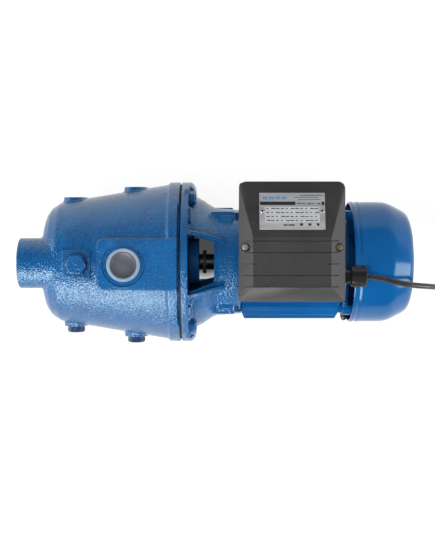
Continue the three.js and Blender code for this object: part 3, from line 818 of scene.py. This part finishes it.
def casing_plugs():
    top = PRIMING_TOP
    washer = lathe([(top, 7), (top, 11.8), (top + 1.6, 11.8), (top + 1.6, 7), (top, 7)], 64, axis="Z",
                   centre=(PRIMING_X, 0))
    finished(washer, "priming_washer", LEAD, "priming_plug_washer")
    collar = post(PRIMING_X, 0, top + 1.6, top + 3.2, 11.2, 64, 10.8)
    head = hex_head(top + 3, 6.8, 19.0, (PRIMING_X, 0), "Z")
    plug = soften(union(collar, head), 0.5, 2)
    finished(plug, "priming_plug_head", ENAMEL, "priming_plug")
    for (x, face), name in zip(SIDE_PORTS, ("side_plug_front", "side_plug_rear")):
        rim = lathe([
            (-face + 0.2, 0), (-face + 0.2, 9.0), (-face - 1.0, 9.0), (-face - 1.4, 8.6), (-face - 1.4, 0),
        ], 64, (x, 0), "Y")
        head = hex_head(-face - 1.2, 5.4, 16.5, (x, 0), "Y", -1)
        finished(soften(union(rim, head), 0.35, 2), name + "_head", DARK, name)
    head = hex_head(-78.2, 6.6, 16.5, (DRAIN_X, 0), "Z", -1)
    finished(soften(head, 0.35, 2), "drain_plug_head", DARK, "drain_plug")


def transport_cap():
    seat = DISCHARGE_TOP - 2
    ring = lathe(
        [(seat + 0.1, 13.9), (seat + 0.1, 17.0), (seat + 1.2, 17.5), (seat + 2.4, 17.2), (seat + 2.9, 16.4),
         (seat + 2.9, 14.6), (seat + 2.3, 13.9), (seat + 0.1, 13.9)],
        96, axis="Z", centre=(DISCHARGE_X, 0),
    )
    finished(ring, "cap_ring", WHITE, "discharge_cap", crease=60)
    disc = lathe(
        [(seat - 4.5, 0), (seat - 4.5, 14.6), (seat + 1.5, 14.2), (seat + 1.5, 13.2), (seat - 0.6, 12.7),
         (seat - 1.6, 11.5), (seat - 1.9, 4), (seat - 1.4, 2.2), (seat - 1.1, 0)],
        96, axis="Z", centre=(DISCHARGE_X, 0),
    )
    finished(disc, "cap_disc", DISC, crease=60)


# ---------------------------------------------------------------- bracket


def lantern_rib(side):
    """The raised edge beside the top window, falling from the flange to the motor's end."""
    ends = [(7, 34.5, 55, 78), (38, 26.5, 45, 61.5), (47, 24, 45, 59.5)]
    top, draft = 2.2, 2.4
    return loft([
        [(x, side * (y + offset), z)
         for offset, z in ((top + draft, low), (top, high), (-top, high), (-top, low))]
        for x, y, low, high in ends
    ])


def flange_lugs():
    """The thick parts of the bracket's flange level with the shaft, on both sides."""
    disc = lathe([
        (BRACKET_FRONT, 0), (BRACKET_FRONT, FLANGE_RADIUS), (11.5, FLANGE_RADIUS), (14, 86.5), (16.4, 83),
        (17.6, 77), (17.6, 0),
    ])
    combine(disc, block(0, 20, -90, 90, -36, 32), "INTERSECT")
    return combine(disc, block(-1, 21, -60, 60, -40, 40), "DIFFERENCE")


def bracket():
    outer = lathe([
        (BRACKET_FRONT, 0), (BRACKET_FRONT, FLANGE_RADIUS), (9, FLANGE_RADIUS), (9, 73), (18, 71.5), (25, 68),
        (33, 62.4), (39, 59.2), (BRACKET_REAR, 58), (BRACKET_REAR, 0),
    ], 128)
    parts = [outer]
    for side in (1, -1):
        parts.append(block(BRACKET_FRONT, BRACKET_REAR, side * 24, side * 61, FOOT_LEVEL, FOOT_TOP))
        parts.append(block(BRACKET_FRONT, 53, side * 30, side * 42, -90, -38))
        for level in (1, -1):
            low, high = sorted((level * 14, level * 36))
            parts.append(block(34, BRACKET_REAR - 0.5, side * 44, side * 55.5, low, high))
            parts.append(block(42, 56, side * 37, side * 50, low, high + 4 * level))
            parts.append(bar(5, 9.9, 11.5, side * FLANGE_BOLT[0], level * FLANGE_BOLT[1], 32))
            parts.append(block(5, 12, side * 44, side * 60, level * 40, level * 62))
    parts.append(block(BRACKET_FRONT, 9, -30, 30, FOOT_LEVEL, -80))
    parts.append(block(48, BRACKET_REAR, -30, 30, FOOT_LEVEL, FOOT_TOP))
    hollow = lathe([
        (9, 26), (9, 67), (18, 65.5), (25, 62), (33, 56.4), (39, 53), (42, 52), (42, 26), (38, 25), (38, 0),
        (21, 0), (20, 26), (9, 26),
    ], 64)
    window_top = prism([(9.3, -29.5), (WINDOW_REAR, -20), (WINDOW_REAR, 23), (9.3, 31)], 30, 95)
    window_bottom = prism([(13, -26), (WINDOW_REAR, -20), (WINDOW_REAR, 22), (13, 27)], -110, -30)
    parts.append(bar(50, BRACKET_END, 57.6, sides=96))
    parts.append(flange_lugs())
    body = cast(parts, (hollow, window_top, window_bottom), 0.9, 4)
    tools = [bar(40, 61, 20.3, sides=64), bar(-5, 45, 9.4, sides=48), bar(60.5, 70, 48, sides=64)]
    for x, y in ((32, 51), (32, -51)):
        tools.append(post(x, y, -100, -80, 4.5, 32))
    for ys, zs in CORNERS:
        tools.append(bar(BRACKET_REAR + 0.5, 72, 9, ys * TIE_ROD[0], zs * TIE_ROD[1]))
    machine(body, *tools)
    for side in (1, -1):
        combine(body, soften(lantern_rib(side), 0.9, 3), "UNION", "MANIFOLD")
    combine(body, block(BRACKET_FRONT, 200, -200, 200, FOOT_LEVEL, 200), "INTERSECT", "MANIFOLD")
    finished(body, "lantern_casting", ENAMEL, "lantern_bracket", crease=40)


def flange_bolts():
    for k, (ys, zs) in enumerate(CORNERS):
        centre = (ys * FLANGE_BOLT[0], zs * FLANGE_BOLT[1])
        washer = bar(9.6, 10.9, 8.4, *centre)
        head = hex_head(10.8, 5.2, 13.0, centre, "X")
        bolt = soften(union(washer, head), 0.3, 2)
        finished(bolt, f"flange_bolt_head_{k + 1}", ENAMEL, f"flange_bolt_{k + 1}")


# ---------------------------------------------------------------- motor


def shell():
    rise = [(0.34, FIN_ROOT + 0.3), (0.24, FIN_ROOT + 2), (0.17, FIN_TIP - 0.8), (0.10, FIN_TIP)]
    fin = [(-share, radius) for share, radius in rise] + rise[::-1]
    outline = []
    for k in range(FIN_COUNT):
        for share, radius in fin:
            angle = (k + share) * 2 * math.pi / FIN_COUNT
            outline.append((radius * math.cos(angle), radius * math.sin(angle)))
    fins = loft([[(x, u, v) for u, v in outline] for x in (SHELL_FRONT, SHELL_REAR)])
    envelope = lathe([
        (SHELL_FRONT - 1, 0), (SHELL_FRONT - 1, 54), (SHELL_FRONT + 0.3, 57), (SHELL_FRONT + 2.6, 62),
        (SHELL_FRONT + 3.6, 64), (SHELL_REAR - 7, 64), (SHELL_REAR - 5.5, 62), (SHELL_REAR - 0.5, 54),
        (SHELL_REAR + 1, 54), (SHELL_REAR + 1, 0),
    ], 96)
    combine(fins, envelope, "INTERSECT")
    for ys, zs in CORNERS:
        tube = bar(SHELL_FRONT, SHELL_REAR, 5.4, ys * (TIE_ROD[0] - 2), zs * (TIE_ROD[1] - 1), 32)
        combine(fins, tube, "UNION")
    cut(fins, bar(SHELL_FRONT - 2, SHELL_REAR + 2, 50, sides=96))
    cut(fins, block(75, 158, -32, 32, 59.7, 80))
    finished(soften(fins, 0.25, 1, 50), "finned_shell", SHELL_PAINT, "motor_shell", crease=50)


def end_shield():
    parts = [lathe([
        (SHIELD_FRONT, 0), (SHIELD_FRONT, 57), (SHIELD_FRONT + 5, 57), (SHIELD_FRONT + 7, 32),
        (SHIELD_REAR - 0.3, 28), (SHIELD_REAR - 0.3, 0),
    ])]
    for ys, zs in CORNERS:
        parts.append(bar(SHIELD_FRONT, SHIELD_REAR - 4, 5.8, ys * TIE_ROD[0], zs * TIE_ROD[1], 32))
        parts.append(block(SHIELD_FRONT, SHIELD_FRONT + 6, ys * 40, ys * 56, zs * 18, zs * 33))
    for angle in (140, 220):
        parts.append(turn(block(SHIELD_FRONT + 1, SHIELD_REAR - 1, -5, 5, 45, 62.5), angle))
    body = cast(parts, (), 0.9, 4)
    machine(body, bar(170, SHIELD_REAR - 2, 20.3, sides=64), bar(170, 200, 9.5, sides=48))
    machine(body, block(SHIELD_FRONT + 1.8, 200, -43, 43, 33, 70))
    finished(body, "shield_casting", PAINT, "rear_end_shield", crease=40)
    plug = lathe([
        (-57.3, 0), (-57.3, 3.8), (-59.5, 3.9), (-62, 3.5), (-64, 2.6), (-65.2, 1.3), (-65.5, 0),
    ], 48, (180.6, 0), "Y")
    finished(plug, "shield_side_plug_head", LEAD, "shield_side_plug", crease=60)


def tie_rod_heads():
    for k, (ys, zs) in enumerate(CORNERS):
        centre = (ys * TIE_ROD[0], zs * TIE_ROD[1])
        head = union(hex_head(186.1, 3.7, 7.6, centre, "X"), bar(SHELL_FRONT, 186.4, 2.4, *centre, 24))
        finished(head, f"tie_rod_bolt_{k + 1}", STEEL, f"tie_rod_{k + 1}")


def cover_profile():
    """The pressed cover's outside: a rolled bead at the open end, then the drum, then the domed shoulder."""
    bead = [
        (COVER_RIM, 65.6), (COVER_RIM + 0.4, COVER_RADIUS), (COVER_RIM + 2.2, 66.7), (COVER_RIM + 4.0, 66.6),
        (COVER_RIM + 5.0, 65.9), (COVER_RIM + 6.6, 65.8), (COVER_RIM + 7.6, 66.5), (COVER_RIM + 9.6, 66.6),
        (COVER_RIM + 10.8, COVER_RADIUS),
    ]
    drum = [(200, COVER_RADIUS), (214, COVER_RADIUS), (220, 66.1), (224, 65.6), (227.5, 64.6), (230.5, 63.3)]
    shoulder = [(234, 61.6), (239, 59.0), (243, 56.9), (245.6, 55.2), (247.8, 52.8), (249.2, 50.0)]
    end = [(249.9, 46.8), (COVER_END, 42.0)]
    return bead + drum + shoulder + end


def fan_cover():
    outside = cover_profile()
    wall = 1.6
    inside = [(x - 0.7 * wall, radius - wall) for x, radius in outside[8:]]
    end = [(COVER_END, 0), (COVER_END - wall, 0)]
    cover = lathe(outside + end + inside[::-1] + [(COVER_RIM, 64.6), outside[0]], 128)
    count = 16
    slots = [
        turn(block(COVER_END - 5, COVER_END + 1, -2, 2, 16, 41), 360 * k / count)
        for k in range(count)
    ]
    cut(cover, *slots)
    finished(cover, "pressed_fan_cover", PAINT, "fan_cover", crease=40)
    for side, name in ((140, "fan_cover_screw_left"), (-140, "fan_cover_screw_right")):
        x = FAN_SCREW_X
        dome = lathe([(66.9, 0), (66.9, 3.8), (67.8, 3.5), (68.9, 2.2), (69.3, 0)], 32, (x, 0), "Z")
        shank = post(x, 0, 58.5, 67.2, 1.5, 20)
        slot = block(x - 0.4, x + 0.4, -2.4, 2.4, 68.4, 70)
        screw = turn(cut(union(dome, shank), slot), side)
        finished(screw, name + "_head", STEEL, name)


def fan():
    hub = lathe([(196, 7.3), (196, 12), (197, 13), (213, 12.4), (214, 11.4), (214, 7.3), (196, 7.3)], 48)
    disc = lathe([(196.3, 10), (196.3, 30), (198.3, 30), (198.3, 10), (196.3, 10)], 64)
    body = union(hub, disc)
    for k in range(8):
        blade = soften(block(196.5, 215.5, -1.0, 1.0, 11, 57.5), 0.4, 2)
        combine(body, turn(blade, 45 * k), "UNION")
    finished(body, "moulded_fan", SMOOTH_PLASTIC, "cooling_fan", body="rotor")


# ---------------------------------------------------------------- terminal box


def hip_roof(inset=0.0, rim=BOX_RIM):
    """The cover's solid: an upright skirt with round corners, then four slopes up to the flat top."""
    far, near = 7.5 - inset, 4.0 - inset
    corners = ((1, 1, far), (0, 1, far), (0, 0, near), (1, 0, near))
    points = []
    for turn_number, (i, j, radius) in enumerate(corners):
        cx = BOX_X[i] + (1, -1)[i] * (inset + radius)
        cy = BOX_Y[j] + (1, -1)[j] * (inset + radius)
        for k in range(9):
            a = math.radians(90 * turn_number + 90 * k / 8)
            x, y = cx + radius * math.cos(a), cy + radius * math.sin(a)
            x += (BOX_X[0] + BOX_X[1] - 2 * x) * 0.006 * (y - BOX_Y[0]) / (BOX_Y[1] - BOX_Y[0])
            points += [(x, y, rim), (x, y, SKIRT_TOP - inset)]
    points += [(x, y, BOX_TOP - inset) for x in PLATEAU_X for y in PLATEAU_Y]
    return hull(points)


PANEL_ANGLE = math.degrees(math.atan2(BOX_TOP - SKIRT_TOP, BOX_Y[1] - PLATEAU_Y[1]))


def groove(y, x0, x1):
    """A cutter that leaves a shallow V across the flat top and down the hips, from x0 to x1."""
    depth, half = 0.7, 0.55
    slope = (BOX_TOP - SKIRT_TOP) / (PLATEAU_X[0] - BOX_X[0])

    def level(x):
        drop = max(0, PLATEAU_X[0] - x, x - PLATEAU_X[1])
        return BOX_TOP - slope * drop

    stations = sorted({x0, x1, *(x for x in PLATEAU_X if x0 < x < x1)})
    points = []
    for x in stations:
        points += [(x, y, level(x) - depth), (x, y - half, level(x) + 0.15), (x, y + half, level(x) + 0.15),
                   (x, y - half, level(x) + 2), (x, y + half, level(x) + 2)]
    loop = [0, 1, 3, 4, 2]
    faces = [tuple(loop), tuple(5 * (len(stations) - 1) + k for k in loop)]
    for i in range(len(stations) - 1):
        for a, b in zip(loop, loop[1:] + loop[:1]):
            faces.append((5 * i + a, 5 * i + b, 5 * i + 5 + b, 5 * i + 5 + a))
    return mesh_object("groove", points, faces)


def terminal_cover():
    cover = hip_roof()
    soften(cover, 1.6, 4, 9)
    combine(cover, block(0, 300, -100, 150, BOX_RIM, 130), "INTERSECT")
    inner = hip_roof(2.5, BOX_RIM - 3)
    cut(cover, inner)
    for x, y in COVER_SCREWS:
        column = combine(post(x, y, BOX_RIM, 112, 6.4, 48), hip_roof(0.4), "INTERSECT")
        combine(cover, column, "UNION")
    cutters = [groove(25.2 - 11.6 * k, 68.3, 163.2) for k in (0, 1, 3, 4)]
    cutters += [groove(2.0, 68.3, 79.6), groove(2.0, 151.7, 163.2)]
    cut(cover, *cutters)
    for x, y in COVER_SCREWS:
        cut(cover, post(x, y, 97, 125, 4.4, 48, 4.6))
        cut(cover, post(x, y, 80, 99, 2.3, 24))
    finished(cover, "terminal_cover_shell", PLASTIC, "terminal_box_cover", crease=30)


def cover_screws():
    looks = (("cover_screw_left", DULL_STEEL), ("cover_screw_right", BRONZE))
    for (x, y), (name, material) in zip(COVER_SCREWS, looks):
        head = lathe([
            (96.9, 0), (96.9, 3.75), (98.2, 3.7), (99.2, 3.0), (99.7, 1.6), (99.8, 0),
        ], 48, (x, y), "Z")
        cut(head, block(x - 2.6, x + 2.6, y - 0.65, y + 0.65, 98, 101))
        cut(head, block(x - 0.65, x + 0.65, y - 2.6, y + 2.6, 98, 101))
        combine(head, post(x, y, 74, 97.2, 1.9, 20), "UNION")
        finished(head, name + "_head", material, name)


def box_outline(inset, radius):
    return rounded_outline(BOX_X[0] + inset, BOX_X[1] - inset, BOX_Y[0] + inset, BOX_Y[1] - inset, radius)


def terminal_base():
    base = prism(box_outline(1, 4), 66, BOX_RIM - 1.3)
    soften(base, 1.2, 3, 60)
    cut(base, prism(box_outline(3.5, 2), 68.5, BOX_RIM + 2))
    neck = prism(rounded_outline(78, 156, -28, 28, 4), 60, 67)
    union(base, neck)
    for x, y in COVER_SCREWS:
        combine(base, post(x, y, 67, BOX_RIM - 1.3, 5.4, 32), "UNION")
    cut(base, bar(160, 175, 7.2, GLAND_Y, GLAND_Z, 48))
    finished(base, "terminal_base_tray", PLASTIC, "terminal_box_base")
    seal = prism(box_outline(1, 3), BOX_RIM - 1.2, BOX_RIM - 0.1)
    cut(seal, prism(box_outline(4.5, 2), 80, 95))
    finished(seal, "cover_seal", LEAD, "terminal_box_gasket")


def on_panel(obj):
    """Tilts a piece made level at the nameplate's centre line onto the sloping panel."""
    y = PLATE_CENTRE[1]
    level = BOX_TOP - (y - PLATEAU_Y[1]) * math.tan(math.radians(PANEL_ANGLE))
    obj.data.transform(Matrix.Translation(Vector((0, y, level)) * MM))
    return turn(obj, -PANEL_ANGLE, (0, y, level))


def plate_block(x0, x1, y0, y1, z0, z1, radius=0.0):
    """A thin rectangle in the plate's own place: X and Y from the plate's centre, Z from the panel."""
    cx = PLATE_CENTRE[0]
    if radius:
        return on_panel(prism(rounded_outline(cx + x0, cx + x1, y0, y1, radius), z0, z1))
    return on_panel(block(cx + x0, cx + x1, y0, y1, z0, z1))


def nameplate():
    half_x, half_y = PLATE_SIZE[0] / 2, PLATE_SIZE[1] / 2
    plate = plate_block(-half_x, half_x, -half_y, half_y, 0.15, 0.95, 0.8)
    finished(soften(plate, 0.2, 2, 50), "type_plate", PLATE, "nameplate")
    black, light, blue = [], [], []
    low, high = 0.8, 1.0
    black.append(plate_block(-half_x + 0.6, 3.2, 6.4, 10.0, low, high))
    black.append(plate_block(half_x - 3.4, half_x - 0.6, 6.4, 10.0, low, high))
    for k, width in enumerate((3.4, 2.2, 3.8, 1.6, 2.8)):
        x0 = 5.5 + 5 * k
        black.append(plate_block(x0, x0 + width, 7.6, 8.5, low, high))
    for k in range(4):
        blue.append(plate_block(-half_x + 3.5 + 6.4 * k, -half_x + 8.4 + 6.4 * k, 12.6, 15.4, low, high))
    for k, (x0, x1) in enumerate(((8, 31), (2, 27), (6, 29))):
        black.append(plate_block(x0, x1, 16.4 - 2.2 * k, 16.9 - 2.2 * k, low, high))
    for r in range(4):
        y = 4.4 - 4.2 * r
        light.append(plate_block(-half_x + 5.5, half_x - 5.5, y - 3.5, y, low, high - 0.04))
        for c in range(11):
            width = 2.0 + (5 * r + 3 * c) % 4 * 0.75
            x0 = -half_x + 7 + c * 4.9
            black.append(plate_block(x0, x0 + width, y - 2.2, y - 1.2, low, high))
    for x0, x1 in ((-9, -5), (-4, 2), (7.5, 10.5), (16, 19), (24.5, 27)):
        black.append(plate_block(x0, x1, -15.4, -14.0 if x0 < 5 else -12.8, low, high))
    for objects, name, material in ((light, "plate_cells", INK_LIGHT), (black, "plate_rows", INK_BLACK),
                                    (blue, "plate_header", INK_BLUE)):
        print_piece = finished(merged(objects), name, material)
    for x, node in zip(RIVETS, ("nameplate_rivet_left", "nameplate_rivet_right")):
        dome = lathe([(0.9, 0), (0.9, 2.3), (1.5, 2.1), (2.1, 1.3), (2.3, 0)], 32, (x, 0), "Z")
        finished(on_panel(dome), node + "_head", STEEL, node)


def gland():
    x = GLAND_NUT_X
    middle = (GLAND_Y, GLAND_Z)
    body = lathe([(168, 3.6), (168, 7), (171.2, 7), (171.2, 8.2), (174.6, 8.2), (175.2, 7.4), (x - 0.3, 7.0),
                  (x - 0.3, 3.6), (168, 3.6)], 64, middle)
    finished(body, "gland_stub", SMOOTH_PLASTIC, "gland_body")
    nut = lathe([(x, 3.3), (x, 9.6), (x + 0.7, 10.2), (x + 14.2, 10.2), (x + 14.6, 10.7), (x + 15.6, 10.7),
                 (x + 16.2, 10.0), (x + 16.3, 4.4), (x + 15.4, 3.3), (x, 3.3)], 64, middle)
    for k in range(12):
        rib = block(x + 0.9, x + 14.4, GLAND_Y - 1.0, GLAND_Y + 1.0, GLAND_Z + 9.4, GLAND_Z + 10.9)
        turn(soften(rib, 0.35, 2), 30 * k, (0, *middle))
        combine(nut, rib, "UNION")
    finished(nut, "gland_cap_nut", SMOOTH_PLASTIC, "gland_nut")


# ---------------------------------------------------------------- plug and lead


def mains_plug():
    z = FOOT_LEVEL + PLUG_RADIUS + 0.3
    face = PLUG_X - 26
    body = lathe([
        (face, 0), (face, 16.6), (face + 0.8, 17.3), (face + 12, 17.3), (face + 14, 16.2), (face + 19, 13.4),
        (face + 26, 10.6), (face + 27.5, 7.6), (face + 34, 6.6), (PLUG_X + 16.3, 4.6), (PLUG_X + 16.3, 0),
    ], 96, (PLUG_Y, z))
    soften(body, 0.3, 2, 40)
    tools = []
    for side in (1, -1):
        level = z + side * 16.2
        tools.append(block(face - 1, face + 13.5, PLUG_Y - 3.4, PLUG_Y + 3.4, level - 1.6, level + 1.6))
    for k in range(3):
        x = face + 29.5 + 3.2 * k
        tools.append(lathe([(x, 5.3), (x, 9), (x + 1.3, 9), (x + 1.3, 5.3), (x, 5.3)], 48, (PLUG_Y, z)))
    cut(body, *tools)
    finished(body, "plug_body", SMOOTH_PLASTIC, "mains_plug")
    pins = []
    for side in (1, -1):
        y = PLUG_Y + side * 9.5
        pins.append(lathe([
            (face - 19, 0), (face - 18.6, 1.4), (face - 17.4, 2.3), (face - 16, 2.4), (face + 2, 2.4),
            (face + 2, 0),
        ], 32, (y, z)))
    finished(merged(pins), "plug_pins", STEEL)
    clips = []
    for side in (1, -1):
        level = z + side * 14.9
        clips.append(block(face + 0.5, face + 12, PLUG_Y - 2, PLUG_Y + 2, level - 0.4, level + 0.4))
    finished(merged(clips), "plug_earth_clips", STEEL)


def coil_tie():
    """A wire tie round the coil's section, on the side away from the plug."""
    x, y = COIL_CENTRE
    tie = lathe([(-4.6, 9.0), (-4.6, 9.9), (4.6, 9.9), (4.6, 9.0), (-4.6, 9.0)], 48)
    scale = Matrix.Diagonal((1.0, 1.04, 0.66, 1.0))
    tie.data.transform(Matrix.Translation(-ORIGIN))
    tie.data.transform(scale)
    middle = Vector((x, y - COIL_RADII[1], FOOT_LEVEL + 6.9)) * MM
    tie.data.transform(Matrix.Translation(ORIGIN + middle))
    return finished(tie, "coil_tie", SMOOTH_PLASTIC)


def finish_lead():
    mains_lead.data.materials.append(LEAD)
    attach(mains_lead, BODY)
    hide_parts("power_cord", "cord_coil", "cord_tail")


# ---------------------------------------------------------------- floor and light


def floor():
    """A white floor that glows, with painted shadow: the glow drops to almost nothing near a point under the
    lantern's window and rises outwards. It gives no light to matt surfaces.
    """
    mesh = bpy.data.meshes.new("floor")
    size = 4.0
    low = -0.0006
    mesh.from_pydata([(-size, -size, low), (size, -size, low), (size, size, low), (-size, size, low)], [],
                     [(0, 1, 2, 3)])
    obj = bpy.data.objects.new("floor", mesh)
    bpy.context.collection.objects.link(obj)
    n = Nodes("pale_floor")
    n.set(Base_Color=(0.18, 0.18, 0.18, 1), Roughness=0.9, Specular_IOR_Level=0.1)
    n.set(Emission_Color=(1, 1, 1, 1))
    # Painted shadow under the pump, seen through the lantern's window: the glow is low near a point under the
    # window's far side and full a few centimetres away. So the window's near part shows painted lit floor.
    painted_shadow_distance = n.add("ShaderNodeVectorMath", operation="DISTANCE")
    painted_shadow_distance.inputs[1].default_value = place((27, 12, FOOT_LEVEL))
    n.link(n.where, painted_shadow_distance.inputs[0])
    spread = n.add("ShaderNodeMapRange")
    spread.inputs["From Min"].default_value = 0.026
    spread.inputs["From Max"].default_value = 0.044
    spread.inputs["To Min"].default_value = 0.06
    spread.inputs["To Max"].default_value = 0.88
    n.link(painted_shadow_distance.outputs["Value"], spread.inputs["Value"])
    n.link(spread.outputs["Result"], n.shader.inputs["Emission Strength"])
    mesh.materials.append(n.material)
    obj.visible_diffuse = False


def softbox(name, at, aim, size, power, mirrored=True, filling=True):
    """An area light that is seen in glossy surfaces (mirrored), or lights matt ones (filling), or both."""
    data = bpy.data.lights.new(name, "AREA")
    data.shape = "RECTANGLE"
    data.size, data.size_y = size
    data.energy = power
    light = bpy.data.objects.new(name, data)
    bpy.context.collection.objects.link(light)
    light.location = at
    light.visible_glossy = mirrored
    light.visible_diffuse = filling
    light.rotation_euler = (Vector(aim) - light.location).to_track_quat("-Z", "Y").to_euler()


def studio_walls():
    """Surroundings that are white low on the far side, and dark overhead and on the near side."""
    world = bpy.data.worlds.new("studio")
    bpy.context.scene.world = world
    world.use_nodes = True
    tree = world.node_tree
    where = tree.nodes.new("ShaderNodeTexCoord")
    parts = tree.nodes.new("ShaderNodeSeparateXYZ")
    tree.links.new(where.outputs["Generated"], parts.inputs["Vector"])
    falls = (("Z", (0.22, 0.40, 1.15, 0.12)), ("Y", (-0.7, 0.1, 0.05, 0.85)), ("Z", (-0.1, 0.0, 0.3, 1.0)))
    strength = None
    for axis, bounds in falls:
        fall = tree.nodes.new("ShaderNodeMapRange")
        for name, value in zip(("From Min", "From Max", "To Min", "To Max"), bounds):
            fall.inputs[name].default_value = value
        tree.links.new(parts.outputs[axis], fall.inputs["Value"])
        product = tree.nodes.new("ShaderNodeMath")
        product.operation = "MULTIPLY"
        product.inputs[1].default_value = 1.0
        tree.links.new(fall.outputs["Result"], product.inputs[0])
        if strength:
            tree.links.new(strength, product.inputs[1])
        strength = product.outputs["Value"]
    tree.links.new(strength, tree.nodes["Background"].inputs["Strength"])
    tree.nodes["Background"].inputs["Color"].default_value = (1, 1, 1, 1)


def studio():
    studio_walls()
    centre = (0, 0, 0.1)
    softbox("near_window", (-0.65, -1.35, 0.95), (-0.1, 0, 0.1), (1.2, 1.0), 36, filling=False)
    softbox("near_fill", (-0.65, -1.35, 0.95), (-0.1, 0, 0.1), (1.2, 1.0), 23, mirrored=False)
    softbox("overhead_fill", (-0.5, -0.1, 2.4), centre, (1.4, 1.4), 31, mirrored=False)
    softbox("end_window", (1.5, -0.46, 0.75), (0.2, 0, 0.14), (0.9, 1.05), 19)
    softbox("side_window", (-1.5, -0.2, 0.4), (-0.1, 0, 0.12), (1.0, 0.8), 10)
    softbox("flash", (0.0, 0.1, 2.2), centre, (0.05, 0.05), 0.4)
    bpy.context.scene.view_settings.view_transform = "Standard"


finish_cad_nodes()
casing()
painted_bore_shade()
gasket()
casing_plugs()
transport_cap()
bracket()
flange_bolts()
shell()
end_shield()
tie_rod_heads()
fan_cover()
fan()
terminal_cover()
cover_screws()
terminal_base()
nameplate()
gland()
mains_plug()
coil_tie()
finish_lead()
floor()
studio()
